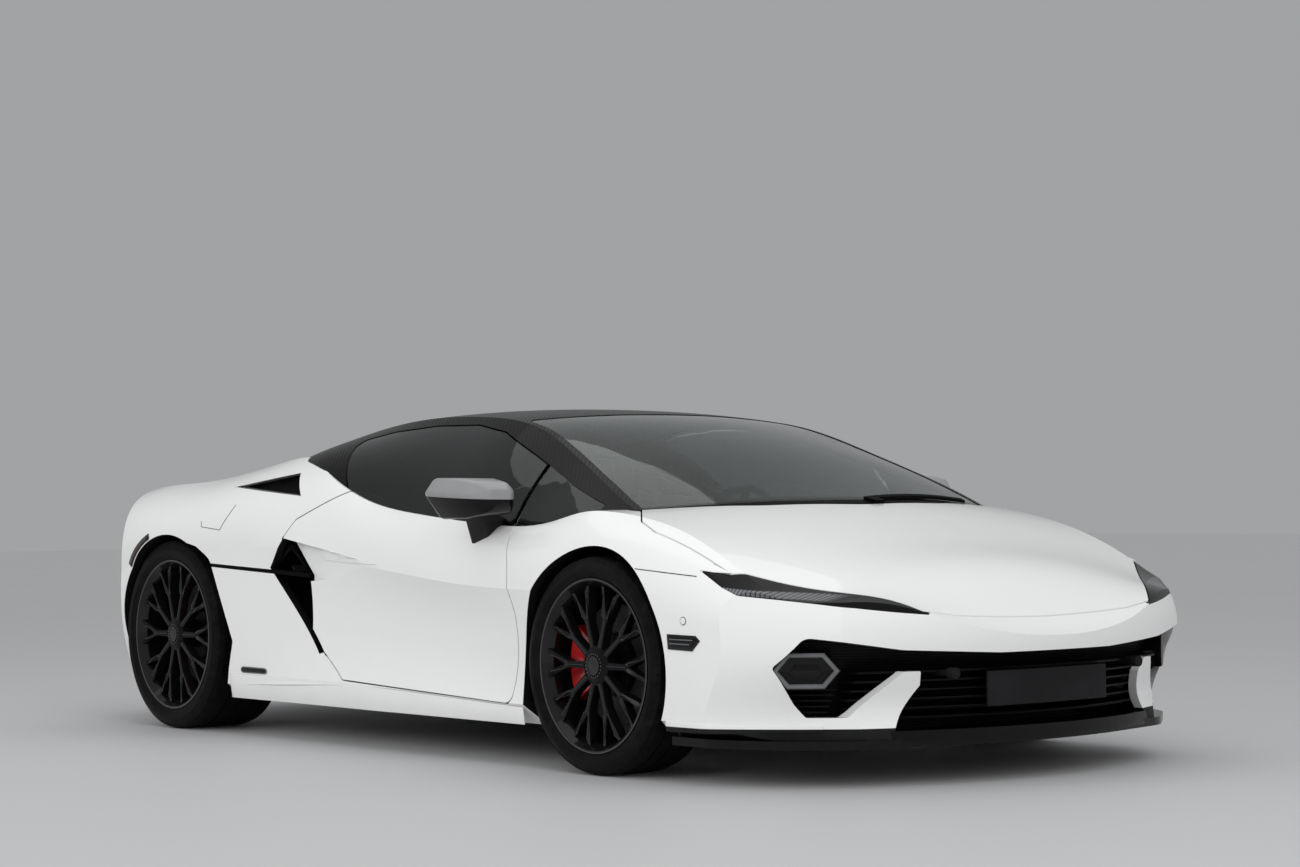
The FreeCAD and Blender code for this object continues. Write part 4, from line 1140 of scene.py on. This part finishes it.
# name, outline, finish, thickness, lift and bevel of what is laid on each right-hand panel
LAID = {
    "front_bumper": (
        ("front_marker_frame", [(1650, 455), (1776, 453), (1795, 438), (1760, 406), (1652, 409)],
         black, 0.004, 0.001, FRAME_BEVEL),
        ("front_marker_lens", [(1658, 447), (1772, 446), (1784, 438), (1755, 415), (1660, 417)],
         lens_black, 0.003, 0.003, FRAME_BEVEL),
        ("front_marker_rib", strip([(1664, 440), (1766, 439)], 3), *RIB),
        ("front_marker_lower_rib", strip([(1664, 427), (1752, 426)], 3), *RIB),
        ("nose_sensor", round_outline(1723, 496, 11), white, 0.002, 0.001, 0.0005),
        ("nose_sensor_gap", round_outline(1723, 496, 13), *GROOVE),
        ("wing_line", strip([(1484, 650), (1560, 644), (1738, 629)], 2.4), *GROOVE),
    ),
    "rear_quarters": (
        ("rear_marker_frame", arch_band(391, 414, 110, 139), black, 0.004, 0.001, FRAME_BEVEL),
        ("rear_marker_lens", arch_band(395, 410, 111.5, 137.5), marker_lens, 0.003, 0.003,
         FRAME_BEVEL),
        ("skirt_slot_frame", [(-888, 248), (-882, 257), (-872, 260), (-722, 259), (-711, 255),
                              (-704, 247), (-706, 239), (-716, 236), (-872, 236), (-882, 239)],
         ring_grey, 0.004, 0.001, 0.001),
        ("skirt_slot", [(-882, 248), (-878, 254), (-870, 256), (-724, 255), (-715, 252),
                        (-710, 247), (-712, 242), (-718, 240), (-870, 240), (-878, 242)],
         lens_black, 0.003, 0.003, 0.001),
        ("fuel_flap_line", strip([(-1152, 800), (-1144, 780), (-1010, 768), (-960, 834),
                                  (-944, 862)], 2.4), *GROOVE),
    ),
    "door_right": (
        ("door_pull", [(-400, 704), (-223, 690), (40, 648), (-129, 652), (-328, 660)],
         white, 0.004, 0.0025, 0.0012),
    ),
}
for panel, patches in LAID.items():
    for name, outline, finish, thickness, lift, bevel in patches:
        patch = laid_patch(f"{name}_right", outline, panel, thickness, lift, bevel)
        fit_pair(patch, panel if panel == "door_right" else "chassis", finish)


SKIRT_LEAN = 0.14


def lower_skirt(name, outline, panel):
    """Skirt that hangs straight from a panel's lower crease down to the floor line."""
    skirt = drawn(name, beside(outline))
    sliced(skirt, 0, 0.03)
    laid_on(skirt, panel, 0.003)
    places = [vertex.co.copy() for vertex in skirt.data.vertices]
    for vertex in skirt.data.vertices:
        column = [place for place in places if abs(place.x - vertex.co.x) < 0.002]
        top = max(column, key=lambda place: place.z)
        vertex.co.y = top.y + SKIRT_LEAN * (top.z - vertex.co.z)
    walled(skirt, 0.004, 0.0012)
    return skirt


SKIRTS = (
    ("sill_skirt", [(-968, 230), (-190, 230), (898, 196), (898, 140), (-968, 140)], "side_sills"),
    ("nose_skirt", [(1626, 196), (2060, 186), (2060, 162), (1626, 160)], "front_bumper"),
)
for name, outline, panel in SKIRTS:
    fit_pair(lower_skirt(f"{name}_right", outline, panel), "chassis", white)


MIRROR_SECTION = [(1.121, 0.890), (1.088, 0.938), (0.962, 0.936), (0.930, 0.902), (0.938, 0.818),
                  (1.066, 0.808)]
MIRROR_STEPS = ((0.024, 1.06), (0.125, 0.97), (0.075, 0.80), (0.028, 0.55))
MIRROR_REAR = 0.582
MIRROR_SWEEP = 0.24
MIRROR_ROOT = 0.965
FOOT_REAR = 0.612
FOOT_LENGTH = 0.092
FOOT_BASE = 0.75
FOOT_RAKE = 0.055


def swept_back(piece):
    """Leans the outer end of a mirror piece towards the rear."""
    for vertex in piece.data.vertices:
        vertex.co.x -= MIRROR_SWEEP * (vertex.co.y - MIRROR_ROOT)


def mirror_head():
    """Wedge of tapered steps from its rear rim to the nose."""
    head = drawn("mirror_head", [(MIRROR_REAR, y, z) for y, z in MIRROR_SECTION])
    edit_whole(head)
    for length, scale in MIRROR_STEPS:
        extrude((length, 0, 0))
        bpy.ops.transform.resize(value=(1, scale, scale), center_override=(0.7, 1.0, 0.875))
    leave_edit()
    outward(head)
    swept_back(head)
    bevelled(head, 0.010, 4, 18)
    return head


def mirror_foot():
    """Black foot that carries the head on the door."""
    foot = block("mirror_foot", [(FOOT_REAR, y, z) for y, z in (
        (0.886, 0.712), (0.930, 0.694), (1.012, 0.832), (0.955, 0.832), (0.886, 0.796))],
                 (FOOT_LENGTH, 0, 0))
    for vertex in foot.data.vertices:
        if vertex.co.z < FOOT_BASE:
            vertex.co.x -= FOOT_RAKE
            vertex.co.z += 0.55 * (vertex.co.x + FOOT_RAKE - FOOT_REAR)
    bevelled(foot, 0.005, 3, 25)
    return foot


def mirror_plate():
    """Silvered glass set into the rear rim."""
    middle_y, middle_z = 1.022, 0.873
    plate = drawn("mirror_plate_left",
                  [(MIRROR_REAR - 0.001, middle_y + (y - middle_y) * 0.86,
                    middle_z + (z - middle_z) * 0.86) for y, z in MIRROR_SECTION])
    swept_back(plate)
    walled(plate, 0.003, 0.001)
    return plate


shell = joined([mirror_head(), mirror_foot()], "mirror_shell_left")
soften(shell, 50)
silvered = Finish("silvered_glass", metallic=1.0)
silvered.tint(silvered.noise(9, 4), (0.62, 0.63, 0.65), (0.56, 0.57, 0.59),
              roughness=silvered.noise(30, 4) * 0.05)
for piece, finish in ((shell, mirror_shell), (mirror_plate(), silvered)):
    for part, (side, _) in zip(fit_pair(piece, "door_left", finish), SIDES):
        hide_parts(f"mirror_{side}")


TAIL_GUIDES = (
    ("tail_guide_upper", strip([(-700, 723), (-600, 733), (-575, 735)], 8)),
    ("tail_guide_middle", strip([(-690, 708), (-600, 708), (-535, 706)], 8)),
    ("tail_guide_lower", strip([(-650, 686), (-590, 684), (-550, 682)], 8)),
)
for name, outline in TAIL_GUIDES:
    tail_guide = drawn(f"{name}_right", behind(outline))
    sliced(tail_guide, 1, LAY_STEP)
    laid_on(tail_guide, "tail_lamps", 0.0025, "x")
    walled(tail_guide, 0.004, 0.001)
    fit_pair(tail_guide, "chassis", guide)


MESH_HALF = [(404, 713), (474, 632), (683, 608), (697, 487), (497, 447)]
MESH_PITCH = 0.030
MESH_MIDDLE = 0.58
MESH_LEAN = 55
TIP_CLEARANCE = 0.110
# wires behind this plane have missed the panel
MISSED = -2.40


def rear_mesh():
    """Lattice of slim wires laid over the rear panel, left open round the exhaust tip."""
    outline = MESH_HALF + [(-y, z) for y, z in MESH_HALF[::-1]]
    lattice = drawn("rear_lattice", behind(outline))
    edit(lattice)
    for turn in (math.radians(MESH_LEAN), -math.radians(MESH_LEAN)):
        way = Vector((0, math.cos(turn), math.sin(turn)))
        middle = Vector((BEHIND, 0, MESH_MIDDLE))
        reach = round(0.75 / MESH_PITCH)
        for step in range(-reach, reach + 1):
            select_whole()
            bpy.ops.mesh.bisect(plane_co=middle + way * (step + 0.5) * MESH_PITCH, plane_no=way)
    leave_edit()
    low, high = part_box("exhaust_tip")
    tip_y, tip_z = (low[1] + high[1]) / 2, (low[2] + high[2]) / 2
    pick(lattice, "FACE", lambda center, normal: math.hypot(center.y - tip_y, center.z - tip_z)
         < TIP_CLEARANCE)
    delete("FACE")
    leave_edit()
    laid_on(lattice, "rear_grille", 0.003, "x")
    pick(lattice, "VERT", lambda place: place.x < MISSED)
    delete("VERT")
    leave_edit()
    apply_modifier(lattice, "WIREFRAME", thickness=0.005, offset=0, use_replace=True,
                   use_boundary=True, use_even_offset=True)
    return lattice


fit(rear_mesh(), "chassis", black)


WING_CORNER = [(1.738, -0.931, 0.6475), (1.764, -0.899, 0.665), (1.848, -0.899, 0.6385),
               (1.786, -0.9165, 0.641)]
corner = drawn("wing_corner_right", WING_CORNER)
walled(corner, 0.003, 0.0006)
fit_pair(corner, "chassis", white)


STALK_LENGTH = 0.13


def intake_sensor(side, sign):
    """Round sensor on its stalk in the upper intake."""
    sensor = cylinder(f"intake_sensor_{side}", 32, 0.017, 0.030, (2.277, sign * 0.405, 0.336),
                      (0, math.pi / 2, 0))
    pick(sensor, "FACE", lambda center, normal: normal.x > 0.9)
    inset((0.003, 0), (0.002, -0.003), (0.006, 0.003))
    pick(sensor, "FACE", lambda center, normal: normal.x < -0.9)
    inset((0.007, 0))
    extrude((-STALK_LENGTH, 0, 0))
    leave_edit()
    bevelled(sensor, 0.0008, 2, 30)
    soften(sensor)
    return sensor


for side, sign in SIDES:
    fit(intake_sensor(side, sign), "chassis", fine_satin)


PLATE_HALF = 0.262
PLATE_Z = (0.229, 0.336)
PLATE_SETBACK = 0.060
PLATE_BOW = 0.16


def plate_holder():
    """Blank plate on its holder in the middle of the intake."""
    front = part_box("front_bumper")[1][0]
    plate = drawn("blank_plate", [(front, y, z) for y, z in (
        (PLATE_HALF, PLATE_Z[0]), (PLATE_HALF, PLATE_Z[1]), (-PLATE_HALF, PLATE_Z[1]),
        (-PLATE_HALF, PLATE_Z[0]))])
    sliced(plate, 1, 0.04)
    for vertex in plate.data.vertices:
        vertex.co.x = front - PLATE_SETBACK - PLATE_BOW * vertex.co.y ** 2
    walled(plate, 0.012, 0.004)
    return plate


fit(plate_holder(), "chassis", fine_satin)

# ---- floor, lamps, camera


# strength of the sky as a light, and where it is seen straight or in gloss and glass
SKY_LIGHT = 0.74
SKY_SEEN = 0.37
CAMERA_PLACE = (8.16775, -6.28083, 0.8491)
# yaw, pitch and roll in degrees
CAMERA_TURN = (141.232, 1.4486, -0.6273)
CAMERA_LENS = 76.88


def studio():
    """Wide pale floor under an even sky."""
    clear_selection()
    bpy.ops.mesh.primitive_plane_add(size=90)
    floor = named("floor")
    finish = Finish("pale_floor", specular_ior_level=0.3)
    cloud = finish.noise(0.6, 4)
    finish.tint(cloud * 0.3, (0.50, 0.50, 0.505), (0.45, 0.45, 0.455), roughness=0.55 + cloud * 0.1)
    floor.data.materials.append(finish.material)

    world = bpy.data.worlds.new("studio")
    bpy.context.scene.world = world
    world.use_nodes = True
    tree = world.node_tree
    sky = tree.nodes["Background"]
    sky.inputs["Color"].default_value = (0.97, 0.985, 1, 1)
    rays = tree.nodes.new("ShaderNodeLightPath").outputs
    seen = rays["Is Camera Ray"]
    for ray in ("Is Glossy Ray", "Is Transmission Ray"):
        either = tree.nodes.new("ShaderNodeMath")
        either.operation = "MAXIMUM"
        tree.links.new(seen, either.inputs[0])
        tree.links.new(rays[ray], either.inputs[1])
        seen = either.outputs[0]
    level = tree.nodes.new("ShaderNodeMapRange")
    level.inputs["To Min"].default_value = SKY_LIGHT
    level.inputs["To Max"].default_value = SKY_SEEN
    tree.links.new(seen, level.inputs["Value"])
    tree.links.new(level.outputs[0], sky.inputs["Strength"])


def put_in_scene(name, data):
    holder = bpy.data.objects.new(name, data)
    bpy.context.scene.collection.objects.link(holder)
    return holder


def area_lamp(name, place, target, width, length, watts, mirrored_in_gloss):
    data = bpy.data.lights.new(name, "AREA")
    data.shape = "RECTANGLE"
    data.size = width
    data.size_y = length
    data.energy = watts
    lamp = put_in_scene(name, data)
    lamp.location = place
    lamp.rotation_euler = (Vector(target) - Vector(place)).to_track_quat("-Z", "Y").to_euler()
    lamp.visible_glossy = mirrored_in_gloss


def camera():
    """Stands ahead of the right front wheel, low, with a long lens."""
    yaw, pitch, roll = (math.radians(angle) for angle in CAMERA_TURN)
    ahead = Vector((math.cos(yaw) * math.cos(pitch), math.sin(yaw) * math.cos(pitch),
                    math.sin(pitch)))
    right = ahead.cross(UP).normalized()
    over = right.cross(ahead)
    across = right * math.cos(roll) + over * math.sin(roll)
    upward = over * math.cos(roll) - right * math.sin(roll)
    data = bpy.data.cameras.new("camera")
    data.sensor_width = 36
    data.lens = CAMERA_LENS
    data.clip_end = 200
    holder = put_in_scene("camera", data)
    turn = Matrix((across, upward, -ahead)).transposed().to_4x4()
    holder.matrix_world = Matrix.Translation(CAMERA_PLACE) @ turn
    bpy.context.scene.camera = holder


studio()
area_lamp("overhead", (0.4, 0, 4.4), (0, 0, 0), 4.5, 7.5, 50, True)
area_lamp("nose_side", (8.5, -3.0, 3.4), (1.6, 0, 0.5), 4.0, 6.0, 190, False)
area_lamp("flank_side", (-0.5, -8.5, 3.2), (0, 0, 0.5), 9.0, 4.0, 230, False)
camera()
bpy.context.scene.view_settings.view_transform = "Standard"

clear_selection()
